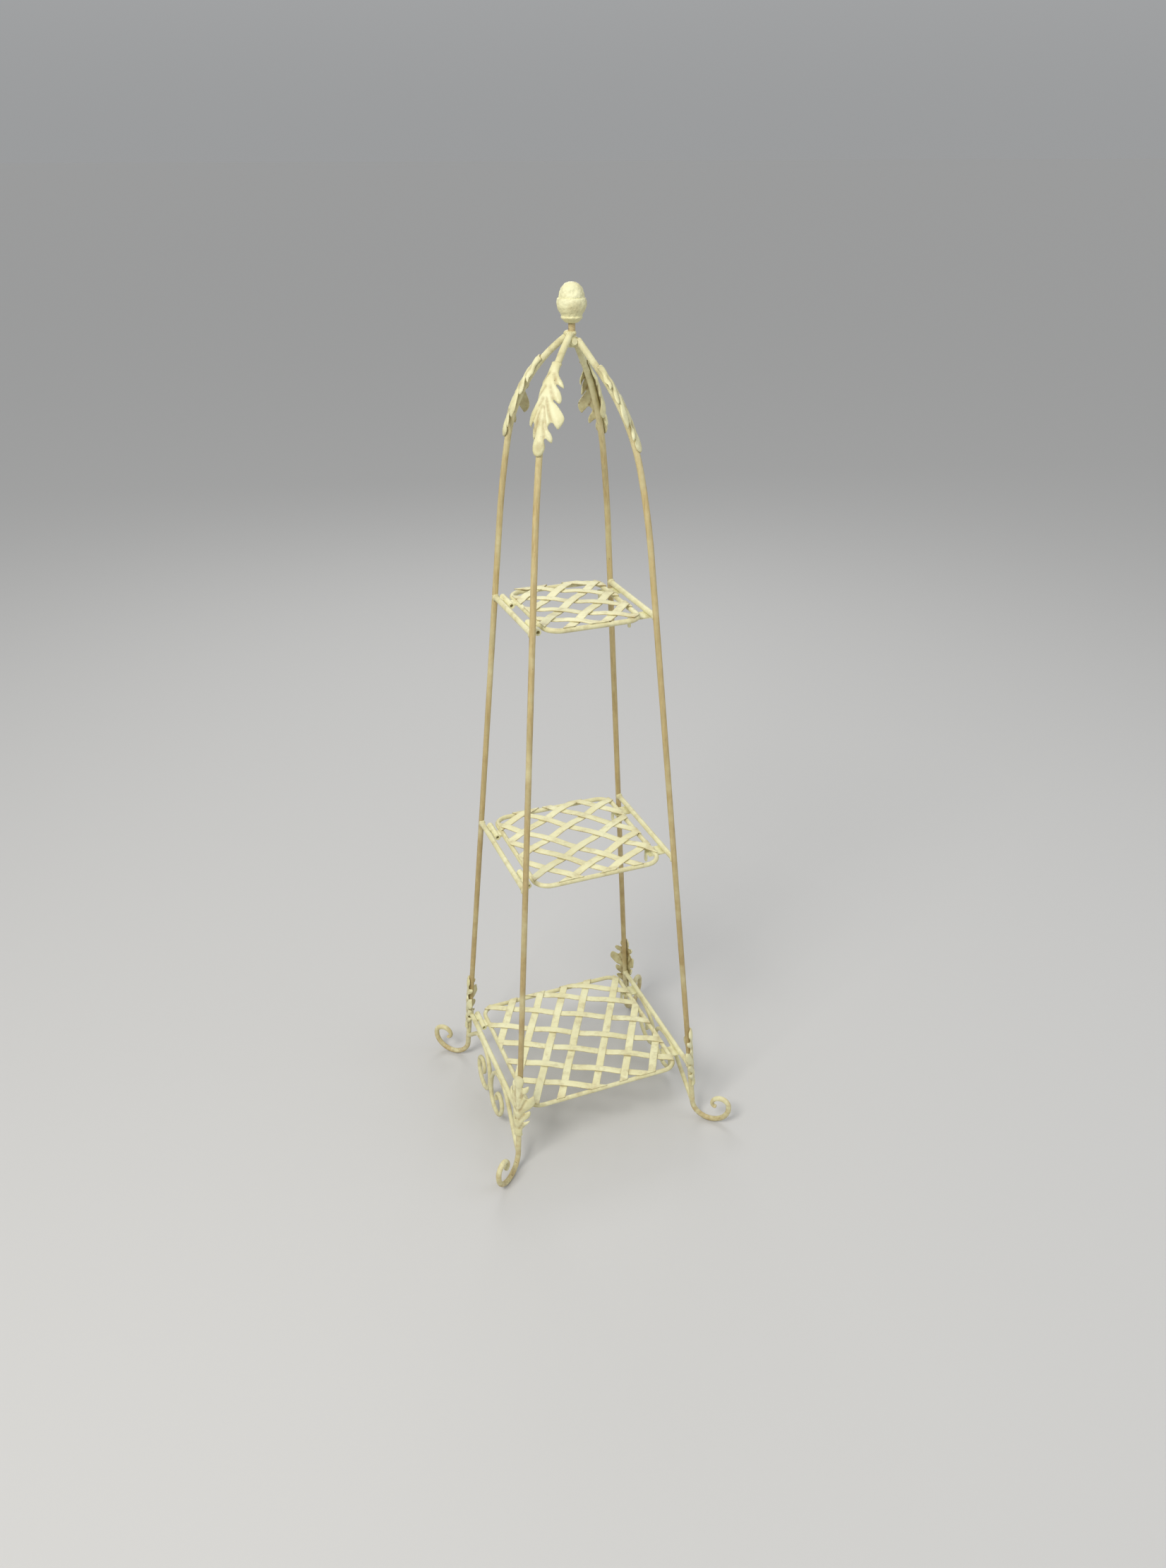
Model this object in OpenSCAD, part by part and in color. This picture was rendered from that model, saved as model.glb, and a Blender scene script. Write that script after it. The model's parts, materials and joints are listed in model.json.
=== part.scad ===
// Folding garden obelisk: four bent rod legs that meet under an acorn finial, three woven strap
// shelves, leaf castings on every leg and scrolled aprons under the lowest crossbars.
// The left pair of legs is one welded frame and the right pair is another. The right frame hangs on
// a pin at the apex. Each shelf is hinged to a left crossbar and rests on tabs under a right crossbar.
// Units are millimetres. The origin is on the ground under the apex, +Z up, +X from the left frame
// to the right frame, +Y from the front legs to the back legs.

/* [Height] */
// Height of the finial tip above the ground
total_h = 1140; // [1130:1:1150]
// Height of the point where the four leg axes would come together
apex_h = 1090; // [1088:1:1092]

/* [Legs] */
// Diameter of the leg rod
leg_d = 7.5; // [7:0.5:8]
// Distance of each foot circle's centre from the middle of the obelisk
foot_reach = 211; // [205:1:216]
// Direction of the right back leg, measured from the X axis
leg_azimuth = 42.2; // [41:0.1:43]
// Lean of the straight lower leg from the vertical
leg_lean = 6; // [5.5:0.1:6.5]
// Leans where the gentle bend becomes the tight one, left legs and right legs
knee_lean = [11, 12];
// Leans of the straight tops of the legs, left legs and right legs
top_lean = [52, 39];
// Radii of the gentle bends, left legs and right legs
gentle_bend_r = [1140, 970];
// Radii of the tight bends, left legs and right legs
tight_bend_r = [177, 252];

/* [Feet] */
// Radius of the rod axis where the foot touches the ground
foot_r = 27.5; // [25:0.5:30]
// Radius of the scroll at the end of the foot
foot_scroll_r = 12.5; // [11:0.5:14]
// Radius of the small curl that ends the scroll
foot_tip_r = 5; // [4.8:0.1:6]

/* [Crossbars and shelves] */
// Diameter of the crossbars
bar_d = 7.5; // [7:0.5:8]
// Heights of the crossbars, bottom to top
bar_h = [94, 441, 775];
// Half lengths of the shelves front to back, to the axis of the rim rod
shelf_half_y = [114, 93, 73.5];
// Gap from a crossbar's axis to the axis of the nearest rim rod
rim_setback = 18; // [17.5:0.1:19]
// How far the rim's axis sits above the crossbar's axis
rim_rise = 1; // [1:0.1:1.5]
// Diameter of the rim rod
rim_d = 6.3; // [6:0.1:6.6]
// Radius of a shelf's corners, to the axis of the rim rod
corner_r = 20; // [15:1:24]

/* [Weave] */
// Width of a strap
strap_w = 11; // [9:0.5:12]
// Thickness of a strap
strap_t = 1.5; // [1:0.1:1.6]
// Directions of each shelf's two sets of straps, from the X axis
strap_angle = [[60.3, -29.1], [30.5, -49.5], [45.5, -32.5]];
// Distances of the first set of straps from the shelf's middle
first_set = [[-119, -81, -43, 2, 36, 70, 110], [-86, -57, -20, 26, 63, 96], [-60, -28, 4, 35, 63]];
// Distances of the second set of straps from the shelf's middle
second_set = [[-105, -69, -31, 5, 46, 86, 114], [-85, -52, -21, 22, 56, 90], [-61, -31, 6, 41, 75]];

/* [Aprons] */
// Diameter of the apron rod
apron_d = 6.3; // [6:0.1:6.6]
// How far behind the middle the two scrolls of an apron meet
apron_shift = 8; // [0:1:10]
// Distance from the meeting point to the top of a scroll's arch
apron_arch = 45; // [43:0.5:48]
// Radius of the turn at the bottom of a scroll
apron_turn_r = 26; // [24:0.5:27]
// Radius of a scroll's inner curl
apron_curl_r = 13; // [11:0.5:14]

/* [Shelf hinges] */
// Outer diameter of a hinge barrel
barrel_d = 8; // [7.5:0.1:8]
// Diameter of a hinge pin
pin_d = 4.4; // [4:0.1:4.6]
// Radial running clearance of the pins
pin_fit = 0.05; // [0.02:0.01:0.09]
// Length of one knuckle
knuckle_l = 17.8; // [15:0.1:18]
// Distances of the hinges from the middle of the crossbars, bottom to top
hinge_y = [90, 64, 48];

/* [Rest tabs] */
// Width of a tab's plate
tab_w = 20; // [16:1:22]
// Thickness of a tab
tab_t = 1.8; // [1.5:0.1:2.4]
// Width of the tongue that is bent down
tongue_w = 6.5; // [5:0.5:8]
// Length of the tongue
tongue_l = 14; // [10:1:16]
// Distances of the tabs from the middle of the crossbars, bottom to top
tab_y = [76, 57.5, 47];

/* [Leaves] */
// Length of a leaf casting
leaf_l = 102; // [98:1:108]
// Thickness of a leaf casting
leaf_t = 1.3; // [1:0.1:1.6]
// Height of the lower edge of the upright leaves
lower_leaf_h = 61; // [58:1:64]
// Distance of the hanging leaves' upper edge from the top of the leg
upper_leaf_gap = 39.5; // [38:0.5:42]

/* [Apex and finial] */
// Height of the pin that the right frame hangs on
pivot_h = 1080; // [1079:0.5:1081]
// Diameter of the post under the finial
post_d = 8; // [7.5:0.1:8.2]
// Diameter of the threaded stem
stem_d = 7.8; // [7:0.1:8]
// Greatest radius of the acorn
acorn_r = 16.4; // [15:0.1:17]

/* [Hidden] */
$fn = 48;
hair = 0.02;
bite = 0.3;
leg_r = leg_d / 2;
bar_r = bar_d / 2;
rim_r = rim_d / 2;
apron_r = apron_d / 2;
barrel_r = barrel_d / 2;
pin_r = pin_d / 2;
post_r = post_d / 2;
BOTTOM = 0;
MIDDLE = 1;
TOP = 2;
LEFT = -1;
RIGHT = 1;
FRONT = -1;
BACK = 1;

// Leg path in the leg's own upright plane, as [distance from the middle, height]. Where there are
// two values the first is for the left legs and the second for the right legs.
FRAMES = [0, 1];
function frame_of(side) = side == LEFT ? 0 : 1;
foot_c = [foot_reach, foot_r + leg_r];
leg_base = foot_c - foot_r * [cos(leg_lean), sin(leg_lean)];
leg_end_reach = 4.5;
// Across and up over a bend of radius r from one lean to another.
function bend_run(r, low, high) = r * [cos(low) - cos(high), sin(high) - sin(low)];
gentle_run = [for (k = FRAMES) bend_run(gentle_bend_r[k], leg_lean, knee_lean[k])];
tight_run = [for (k = FRAMES) bend_run(tight_bend_r[k], knee_lean[k], top_lean[k])];
// The two straights take up what the bends leave of the way from the foot to the apex.
to_cover = [for (k = FRAMES)
    [leg_base[0] - leg_end_reach, apex_h - leg_end_reach / tan(top_lean[k]) - leg_base[1]]
    - gentle_run[k] - tight_run[k]];
top_straight = [for (k = FRAMES)
    (to_cover[k][0] * cos(leg_lean) - to_cover[k][1] * sin(leg_lean)) / sin(top_lean[k] - leg_lean)];
low_straight = [for (k = FRAMES) (to_cover[k][0] - top_straight[k] * sin(top_lean[k])) / sin(leg_lean)];
gentle_l = [for (k = FRAMES) gentle_bend_r[k] * (knee_lean[k] - leg_lean) * PI / 180];
tight_l = [for (k = FRAMES) tight_bend_r[k] * (top_lean[k] - knee_lean[k]) * PI / 180];
low_end = [for (k = FRAMES) leg_base + low_straight[k] * [-sin(leg_lean), cos(leg_lean)]];
gentle_end = [for (k = FRAMES) low_end[k] + [-gentle_run[k][0], gentle_run[k][1]]];
tight_end = [for (k = FRAMES) gentle_end[k] + [-tight_run[k][0], tight_run[k][1]]];

// Distance of the straight lower leg's axis from the middle at height z.
function leg_reach(z) = leg_base[0] - (z - leg_base[1]) * tan(leg_lean);
// A point l along a bend of radius r that starts at a point with a given lean: [reach, height, lean].
function bend_at(from, r, lean, l) =
    let(a = lean + l / r * 180 / PI, run = bend_run(r, lean, a)) [from[0] - run[0], from[1] + run[1], a];
// Point and lean of a leg's axis a length l along it from the foot: [reach, height, lean].
function leg_at(k, l) =
    let(after_low = l - low_straight[k], after_gentle = after_low - gentle_l[k],
        after_tight = after_gentle - tight_l[k])
    after_low <= 0 ? concat(leg_base + l * [-sin(leg_lean), cos(leg_lean)], leg_lean)
    : after_gentle <= 0 ? bend_at(low_end[k], gentle_bend_r[k], leg_lean, after_low)
    : after_tight <= 0 ? bend_at(gentle_end[k], tight_bend_r[k], knee_lean[k], after_gentle)
    : concat(tight_end[k] + after_tight * [-sin(top_lean[k]), cos(top_lean[k])], top_lean[k]);

// Crossbars, rims and hinges, one value for each shelf.
bar_x = [for (h = bar_h) leg_reach(h) * cos(leg_azimuth)];
bar_y = [for (h = bar_h) leg_reach(h) * sin(leg_azimuth)];
rim_x = [for (x = bar_x) x - rim_setback];
barrel_gap = 0.8;
hinge_x = [for (x = bar_x) x - bar_r - barrel_gap - barrel_r];
knuckle_gap = 0.4;

// Weave: under straps lie on the rim, over straps pass above them.
weave_gap = 0.1;
under_z = rim_r + strap_t / 2 - 0.1;
over_z = under_z + strap_t + weave_gap;
flat_half = strap_w / 2 + 2;
ramp_min = 6;
strap_reach = 12;

// Aprons, in the plane of the side frame with the crossbar's axis at zero.
apron_drop = 4;
apron_fall = 42;
apron_shoulder_r = 50;
apron_top = -(bar_r + apron_r - 0.25);
frame_tilt = atan(tan(leg_lean) * cos(leg_azimuth));

// Rest tabs hang below the rim, clear of it by the strap ends that wrap it.
tab_top = rim_rise - rim_r - strap_t - 0.3;

// Apex: the lugs stand either side of the post on the pivot pin.
lug_t = 3;
lug_r = 4.2;
lug_gap = 0.4;
pivot_pin_d = 4;
right_leg_stop = 7.5;
rivet_r = 3.2;
rivet_t = 1.2;
head_y = post_r + 2 * lug_gap + lug_t;
post_low = pivot_h - 6.5;
post_high = apex_h - 2;
stem_sink = 5;
lug_arm_h = 5;

// Acorn: heights of its base, its lower ring and the seam between cup and nut.
acorn_base = total_h - 41.5;
acorn_ring = total_h - 35.5;
acorn_seam = total_h - 16.5;

CREAM = [0.93, 0.9, 0.72];
TAN = [0.8, 0.7, 0.46];
RUST = [0.5, 0.38, 0.25];

// A rod that starts at the origin along +Z. Each step is [length] for a straight or
// [radius, angle] for a bend, which turns towards +X for a positive angle. Every other piece is
// a hair thinner and runs on a little into its neighbours, so that the joints close cleanly.
module bent_rod(d, steps, thin = false, i = 0) {
    if (i < len(steps)) {
        step = steps[i];
        piece_d = thin ? d - 2 * hair : d;
        run_on = thin ? bite : 0;
        if (len(step) == 1) {
            translate([0, 0, -run_on]) cylinder(d = piece_d, h = step[0] + 2 * run_on);
            translate([0, 0, step[0]]) bent_rod(d, steps, !thin, i + 1);
        } else {
            r = step[0];
            a = abs(step[1]);
            side = sign(step[1]);
            extra = run_on / r * 180 / PI;
            translate([side * r, 0, 0]) rotate([90, 0, 0])
                rotate([0, 0, (side > 0 ? 180 - a : 0) - extra])
                    rotate_extrude(angle = a + 2 * extra, $fn = 96)
                        translate([r, 0]) circle(d = piece_d, $fn = 32);
            translate([side * r * (1 - cos(a)), 0, r * sin(a)]) rotate([0, side * a, 0])
                bent_rod(d, steps, !thin, i + 1);
        }
    }
}

// Puts a child drawn in a leg's upright plane (X outwards) at the leg on side x and end y.
module at_leg(x, y) {
    rotate([0, 0, atan2(y * sin(leg_azimuth), x * cos(leg_azimuth))]) children();
}

// The straight lower stretch of a leg as a plain rod, for cutting what butts against it.
module leg_core(x, y) {
    at_leg(x, y) translate([leg_base[0], 0, leg_base[1]]) rotate([0, -leg_lean, 0])
        cylinder(d = leg_d, h = low_straight[frame_of(x)]);
}

module leg_rod(x, y, stop) {
    k = frame_of(x);
    shorten = (stop - leg_end_reach) / sin(top_lean[k]);
    at_leg(x, y) translate([leg_base[0], 0, leg_base[1]]) {
        rotate([0, -leg_lean, 0]) bent_rod(leg_d, [
            [low_straight[k]], [gentle_bend_r[k], leg_lean - knee_lean[k]],
            [tight_bend_r[k], knee_lean[k] - top_lean[k]], [top_straight[k] - shorten]]);
        rotate([0, 180 - leg_lean, 0]) bent_rod(leg_d, [
            [foot_r, leg_lean - 190], [foot_scroll_r, -165], [foot_tip_r, -115]], true);
    }
}

// A left leg is welded to the side of the post, so it ends on the post's surface.
module left_leg(y) {
    color(TAN) difference() {
        leg_rod(LEFT, y, leg_end_reach);
        translate([0, 0, post_low]) cylinder(d = post_d, h = acorn_base - post_low);
        // The two left legs share the space beside the post along the plane between them.
        translate([-30, y < 0 ? 0 : -30, post_low]) cube([60, 30, 40]);
        // Room for the lug to turn in.
        translate([0, y * (post_r + lug_gap + lug_t / 2), pivot_h]) rotate([90, 0, 0])
            cylinder(r = lug_r + lug_gap, h = lug_t + 2 * lug_gap, center = true);
    }
}

// A right leg stops short of the post and is welded to its lug.
module right_leg(y) {
    color(TAN) difference() {
        leg_rod(RIGHT, y, right_leg_stop);
        lug_plate(y);
        // Room for the pin's head.
        translate([0, y * (head_y + rivet_t / 2), pivot_h]) rotate([90, 0, 0])
            cylinder(r = rivet_r + lug_gap, h = rivet_t + 2 * lug_gap, center = true);
    }
}

// A crossbar between two legs, cut to sit against both.
module crossbar(level, side) {
    color(CREAM) difference() {
        translate([side * bar_x[level], bar_y[level], bar_h[level]]) rotate([90, 0, 0])
            cylinder(d = bar_d, h = 2 * bar_y[level]);
        leg_core(side, FRONT);
        leg_core(side, BACK);
    }
}

// Half of an apron: from its weld on the leg it rises to the crossbar, arches over, falls at the
// meeting point and curls back towards its own leg.
module apron(side, end) {
    arch_y = end * apron_arch + apron_shift;
    fall_r = apron_arch - apron_r;
    arm_run = leg_base[0] * sin(leg_azimuth) - abs(arch_y) - apron_shoulder_r * sin(apron_fall);
    arm_l = arm_run / cos(apron_fall);
    color(CREAM) difference() {
        translate([side * bar_x[BOTTOM], 0, bar_h[BOTTOM]]) rotate([0, -side * frame_tilt, 0])
            translate([0, arch_y, apron_top]) rotate([0, 0, -end * 90]) {
                rotate([0, 90, 0]) bent_rod(apron_d, [
                    [fall_r, 90], [apron_drop], [apron_turn_r, 180], [apron_curl_r, 200]]);
                rotate([0, -90, 0]) bent_rod(apron_d, [
                    [apron_shoulder_r, -apron_fall], [arm_l]], true);
            }
        leg_rod(side, end, right_leg_stop);
        crossbar_core(BOTTOM, side);
    }
}

module crossbar_core(level, side) {
    translate([side * bar_x[level], 200, bar_h[level]]) rotate([90, 0, 0])
        cylinder(d = bar_d, h = 400);
}

// Rod bent to a rectangle with round corners, closed, lying flat about the origin.
module rim(level) {
    x = rim_x[level];
    y = shelf_half_y[level];
    extra = bite / corner_r * 180 / PI;
    color(CREAM) translate([0, 0, bar_h[level] + rim_rise])
        for (turn = [0 : 3]) {
            half = turn % 2 == 0 ? [x, y] : [y, x];
            rotate([0, 0, 90 * turn]) {
                translate([half[0], half[1] - corner_r, 0]) rotate([90, 0, 0])
                    cylinder(d = rim_d, h = 2 * (half[1] - corner_r));
                translate([half[0] - corner_r, half[1] - corner_r, 0])
                    rotate([0, 0, -extra]) rotate_extrude(angle = 90 + 2 * extra, $fn = 96)
                        translate([corner_r, 0]) circle(d = rim_d - 2 * hair, $fn = 32);
            }
        }
}

// Where a line at direction a and distance off from the middle crosses the rim's rectangle.
function strap_span(a, off, x, y) =
    let(d = [cos(a), sin(a)], p = off * [-sin(a), cos(a)],
        tx = [for (e = [-x, x]) (e - p[0]) / d[0]], ty = [for (e = [-y, y]) (e - p[1]) / d[1]])
    [max(min(tx), min(ty)), min(max(tx), max(ty))];

// Heights of a strap along its length, as [distance, height] pairs, from end to end.
function strap_line(span, crossings, over) =
    let(flats = [for (k = [0 : len(crossings) - 1])
            if (crossings[k] > span[0] - flat_half && crossings[k] < span[1] + flat_half)
                [max(crossings[k] - flat_half, span[0]), min(crossings[k] + flat_half, span[1]),
                 (k % 2 == 0) == over ? over_z : under_z]],
        first = flats[0], last = flats[len(flats) - 1])
    [if (first[0] - span[0] > ramp_min) [span[0], under_z],
     if (first[0] - span[0] > 0 && first[0] - span[0] <= ramp_min) [span[0], first[2]],
     for (f = flats) each [[f[0], f[2]], [f[1], f[2]]],
     if (span[1] - last[1] > 0 && span[1] - last[1] <= ramp_min) [span[1], last[2]],
     if (span[1] - last[1] > ramp_min) [span[1], under_z]];

// A flat strap whose side view follows a line of [distance, height] pairs.
module strap(line) {
    edge = [for (p = line) p + [0, strap_t / 2]];
    back = [for (k = [len(line) - 1 : -1 : 0]) line[k] - [0, strap_t / 2]];
    rotate([90, 0, 0]) translate([0, 0, -strap_w / 2])
        linear_extrude(height = strap_w) polygon(concat(edge, back));
}

// One set of straps. The sets pass over and under each other in turn.
module strap_set(level, set) {
    a = strap_angle[level][set];
    cross_a = strap_angle[level][1 - set];
    offsets = set == 0 ? first_set[level] : second_set[level];
    others = set == 0 ? second_set[level] : first_set[level];
    // Rising distance along a strap of the first set meets the second set's straps in rising order;
    // along a strap of the second set it meets the first set's straps in falling order.
    order = set == 0 ? [0 : len(others) - 1] : [len(others) - 1 : -1 : 0];
    color(CREAM) translate([0, 0, bar_h[level] + rim_rise])
        for (i = [0 : len(offsets) - 1]) {
            crossings = [for (j = order)
                (others[j] - offsets[i] * cos(a - cross_a)) / sin(a - cross_a)];
            span = strap_span(a, offsets[i], rim_x[level], shelf_half_y[level]);
            starts_over = set == 0 ? i % 2 == 0 : (i + order_start(set, len(others))) % 2 == 1;
            intersection() {
                rotate([0, 0, a]) translate([0, offsets[i], 0])
                    strap(strap_line(span, crossings, starts_over));
                shelf_outline(level);
            }
        }
}

// Index of the first crossing strap that a strap of this set meets.
function order_start(set, count) = set == 0 ? 0 : count - 1;

// Everything inside the axis of a shelf's rim.
module shelf_outline(level) {
    x = rim_x[level];
    y = shelf_half_y[level];
    translate([0, 0, -10]) {
        translate([-x, corner_r - y, 0]) cube([2 * x, 2 * (y - corner_r), 30]);
        translate([corner_r - x, -y, 0]) cube([2 * (x - corner_r), 2 * y, 30]);
        for (sx = [-1, 1], sy = [-1, 1])
            translate([sx * (x - corner_r), sy * (y - corner_r), 0])
                cylinder(r = corner_r, h = 30, $fn = 96);
    }
}

// A hinge knuckle along Y with a bridge of weld to the rod at one side of it.
module knuckle(bore_r, bridge_to, bridge_z) {
    bridge_l = knuckle_l - 4;
    difference() {
        union() {
            rotate([90, 0, 0]) cylinder(r = barrel_r, h = knuckle_l, center = true);
            translate([bridge_to / 2, 0, bridge_z]) cube([abs(bridge_to), bridge_l, 3], center = true);
        }
        rotate([90, 0, 0]) cylinder(r = bore_r, h = knuckle_l + 2, center = true);
    }
}

// Knuckles welded to the left crossbar. They grip the pins.
module bar_knuckles(level) {
    color(CREAM) difference() {
        for (end = [FRONT, BACK])
            translate([-hinge_x[level], end * (hinge_y[level] + (knuckle_l + knuckle_gap) / 2),
                       bar_h[level]])
                knuckle(pin_r, -(barrel_r + barrel_gap + 1), 0);
        crossbar_core(level, LEFT);
    }
}

// Knuckles welded to the shelf's rim. They turn on the pins.
module shelf_knuckles(level) {
    color(CREAM) difference() {
        for (end = [FRONT, BACK])
            translate([-hinge_x[level], end * (hinge_y[level] - (knuckle_l + knuckle_gap) / 2),
                       bar_h[level]])
                knuckle(pin_r + pin_fit, rim_setback - bar_r - barrel_gap - barrel_r - rim_r + 1,
                        rim_rise / 2);
        translate([-rim_x[level], 200, bar_h[level] + rim_rise]) rotate([90, 0, 0])
            cylinder(d = rim_d, h = 400);
    }
}

// Hinge pins, sunk into the barrels at both ends.
module hinge_pins(level) {
    pin_l = 2 * knuckle_l - 8;
    color(RUST) for (end = [FRONT, BACK])
        translate([-hinge_x[level], end * hinge_y[level], bar_h[level]]) rotate([90, 0, 0])
            cylinder(r = pin_r, h = pin_l, center = true);
}

// Tabs welded under the right crossbar. The shelf's rim rests over the plate and the tongue hangs
// inside the rim.
module rest_tabs(level) {
    inner = rim_x[level] - rim_r - strap_t - 2.5;
    plate_l = bar_x[level] - inner;
    color(CREAM) difference() {
        for (end = [FRONT, BACK])
            translate([inner, end * tab_y[level], bar_h[level] + tab_top]) {
                translate([tab_t, -tab_w / 2, -tab_t]) cube([plate_l - tab_t, tab_w, tab_t]);
                translate([0, -tongue_w / 2, -tab_t]) cube([tab_t + 0.01, tongue_w, tab_t]);
                translate([0, -tongue_w / 2, -tongue_l + tongue_w / 2])
                    cube([tab_t, tongue_w, tongue_l - tongue_w / 2 - tab_t]);
                translate([0, 0, -tongue_l + tongue_w / 2]) rotate([0, 90, 0])
                    cylinder(d = tongue_w, h = tab_t);
            }
        crossbar_core(level, RIGHT);
    }
}

// Half width of the leaf outline at a distance from its cuff: lobes sweep towards the tip.
LEAF_OUTLINE = [
    [0, 6.2], [10, 6], [18, 10], [28, 16], [30, 8.5], [38, 12.5], [47, 17], [49, 11], [58, 20.5],
    [66, 23.5], [72, 22.5], [75, 12], [84, 16], [88, 15.5], [90, 7], [96, 7.2], [102, 5.5], [108, 0.8]];
// Radius that the leaf is curved to across its width, which hugs the leg at the cuff.
LEAF_CUP = [[0, 4.1], [8, 4.4], [20, 14], [40, 32], [80, 36], [90, 14], [108, 8]];
leaf_steps = 27;
leaf_cols = 4;

// A point of the leaf: t from cuff to tip, w from -1 to 1 across, lift off the leg's surface.
function leaf_point(k, start, dir, t, w, lift) =
    let(s = t * leaf_l, scaled = t * 108, cup = lookup(scaled, LEAF_CUP) + lift,
        at = leg_at(k, start + dir * s), turn = w * lookup(scaled, LEAF_OUTLINE) / cup * 180 / PI,
        out = leg_r + 0.1 + lift - cup * (1 - cos(turn)))
    [at[0] + out * cos(at[2]), cup * sin(turn), at[1] + out * sin(at[2])];

// Closed shell of the leaf casting against the outside of a leg.
module leaf(k, start, dir) {
    cols = 2 * leaf_cols + 1;
    rows = leaf_steps + 1;
    layer = [for (lift = [0, leaf_t]) [for (i = [0 : leaf_steps]) for (j = [0 : cols - 1])
        leaf_point(k, start, dir, i / leaf_steps, j / leaf_cols - 1, lift)]];
    count = rows * cols;
    quads = [for (i = [0 : leaf_steps - 1]) for (j = [0 : cols - 2])
        [i * cols + j, i * cols + j + 1, (i + 1) * cols + j + 1, (i + 1) * cols + j]];
    rim_path = concat(
        [for (j = [0 : cols - 1]) j],
        [for (i = [1 : leaf_steps]) i * cols + cols - 1],
        [for (j = [cols - 2 : -1 : 0]) leaf_steps * cols + j],
        [for (i = [leaf_steps - 1 : -1 : 1]) i * cols]);
    n = len(rim_path);
    inner = [for (q = quads) each [[q[0], q[1], q[2]], [q[0], q[2], q[3]]]];
    outer = [for (f = inner) [f[2] + count, f[1] + count, f[0] + count]];
    wall = [for (k = [0 : n - 1]) let(a = rim_path[k], b = rim_path[(k + 1) % n])
        each [[b, a, a + count], [b, a + count, b + count]]];
    faces = concat(inner, outer, wall);
    polyhedron(concat(layer[0], layer[1]),
               dir > 0 ? faces : [for (f = faces) [f[2], f[1], f[0]]], convexity = 6);
}

// Upright leaf low on a leg, with its tip up.
module lower_leaf(x, y) {
    color(CREAM) at_leg(x, y)
        leaf(frame_of(x), (lower_leaf_h - leg_base[1]) / cos(leg_lean), 1);
}

// Hanging leaf at the top of a leg, with its tip down.
module upper_leaf(x, y) {
    k = frame_of(x);
    leg_l = low_straight[k] + gentle_l[k] + tight_l[k] + top_straight[k];
    color(CREAM) at_leg(x, y) leaf(k, leg_l - upper_leaf_gap, -1);
}

// Post that the left legs are welded to. The pivot pin crosses it and the finial stem screws in.
module apex_post() {
    color(CREAM) difference() {
        translate([0, 0, post_low]) cylinder(d = post_d, h = post_high - post_low);
        translate([0, 0, pivot_h]) rotate([90, 0, 0])
            cylinder(d = pivot_pin_d, h = post_d + 2, center = true);
        translate([0, 0, post_high - stem_sink]) cylinder(d = stem_d - 2, h = stem_sink + 1);
    }
}

// Riveted pin along Y, fast in the post, with a head outside each lug.
module pivot_pin() {
    color(RUST) translate([0, 0, pivot_h]) rotate([90, 0, 0]) {
        cylinder(d = pivot_pin_d, h = 2 * (head_y + rivet_t), center = true);
        for (end = [FRONT, BACK])
            translate([0, 0, end * (head_y + rivet_t / 2)])
                cylinder(r = rivet_r, h = rivet_t, center = true);
    }
}

// Outline of a lug from the pivot out to its leg, as a solid block of the lug's thickness.
module lug_plate(y) {
    // The arm ends inside the leg, where the leg's axis is in line with the lug.
    reach = (post_r + lug_gap + lug_t / 2) / sin(leg_azimuth);
    arm = [reach * cos(leg_azimuth), apex_h - reach / tan(top_lean[1]) - pivot_h];
    translate([0, y * (post_r + lug_gap + lug_t / 2), pivot_h]) {
        rotate([90, 0, 0]) cylinder(r = lug_r, h = lug_t, center = true);
        rotate([0, -atan2(arm[1], arm[0]), 0]) translate([0, -lug_t / 2, -lug_arm_h / 2])
            cube([norm(arm), lug_t, lug_arm_h]);
    }
}

// Flattened end of a right leg, turning on the pivot pin.
module lug(y) {
    color(CREAM) difference() {
        lug_plate(y);
        translate([0, 0, pivot_h]) rotate([90, 0, 0])
            cylinder(r = pivot_pin_d / 2 + pin_fit, h = 40, center = true);
    }
}

// Threaded stem between the post and the acorn.
module finial_stem() {
    stem_top = acorn_base + 10;
    color(RUST) {
        translate([0, 0, post_high]) cylinder(d = stem_d, h = stem_top - post_high);
        translate([0, 0, post_high - stem_sink]) cylinder(d = stem_d - 2, h = stem_sink + 0.01);
    }
}

// Cup of the acorn, with a bead round its foot.
module acorn_cup() {
    bead_r = acorn_r * 0.72;
    bulge = [for (t = [0 : 10 : 90]) [acorn_r * (0.68 + 0.32 * sin(t)),
        acorn_ring + 1 + (acorn_seam - acorn_ring - 6) * (1 - cos(t)) + 0.04 * t]];
    color(CREAM) difference() {
        rotate_extrude($fn = 96) polygon(concat(
            [[0, acorn_base], [acorn_r * 0.44, acorn_base], [acorn_r * 0.6, acorn_base + 2.5],
             [bead_r, acorn_ring - 2.4], [bead_r + 0.2, acorn_ring - 0.6], [bead_r - 0.6, acorn_ring + 0.6]],
            bulge, [[acorn_r * 0.92, acorn_seam], [0, acorn_seam]]));
        translate([0, 0, acorn_base - 1]) cylinder(d = stem_d, h = 11);
    }
}

// Nut of the acorn: a dome that ends in a blunt point.
module acorn_nut() {
    nut_r = acorn_r * 0.86;
    nut_h = total_h - acorn_seam;
    color(CREAM) rotate_extrude($fn = 96) polygon(concat(
        [[0, acorn_seam]],
        [for (t = [0 : 7.5 : 82.5]) [nut_r * pow(cos(t), 0.85), acorn_seam + nut_h * sin(t)]],
        [[0, total_h]]));
}

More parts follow.
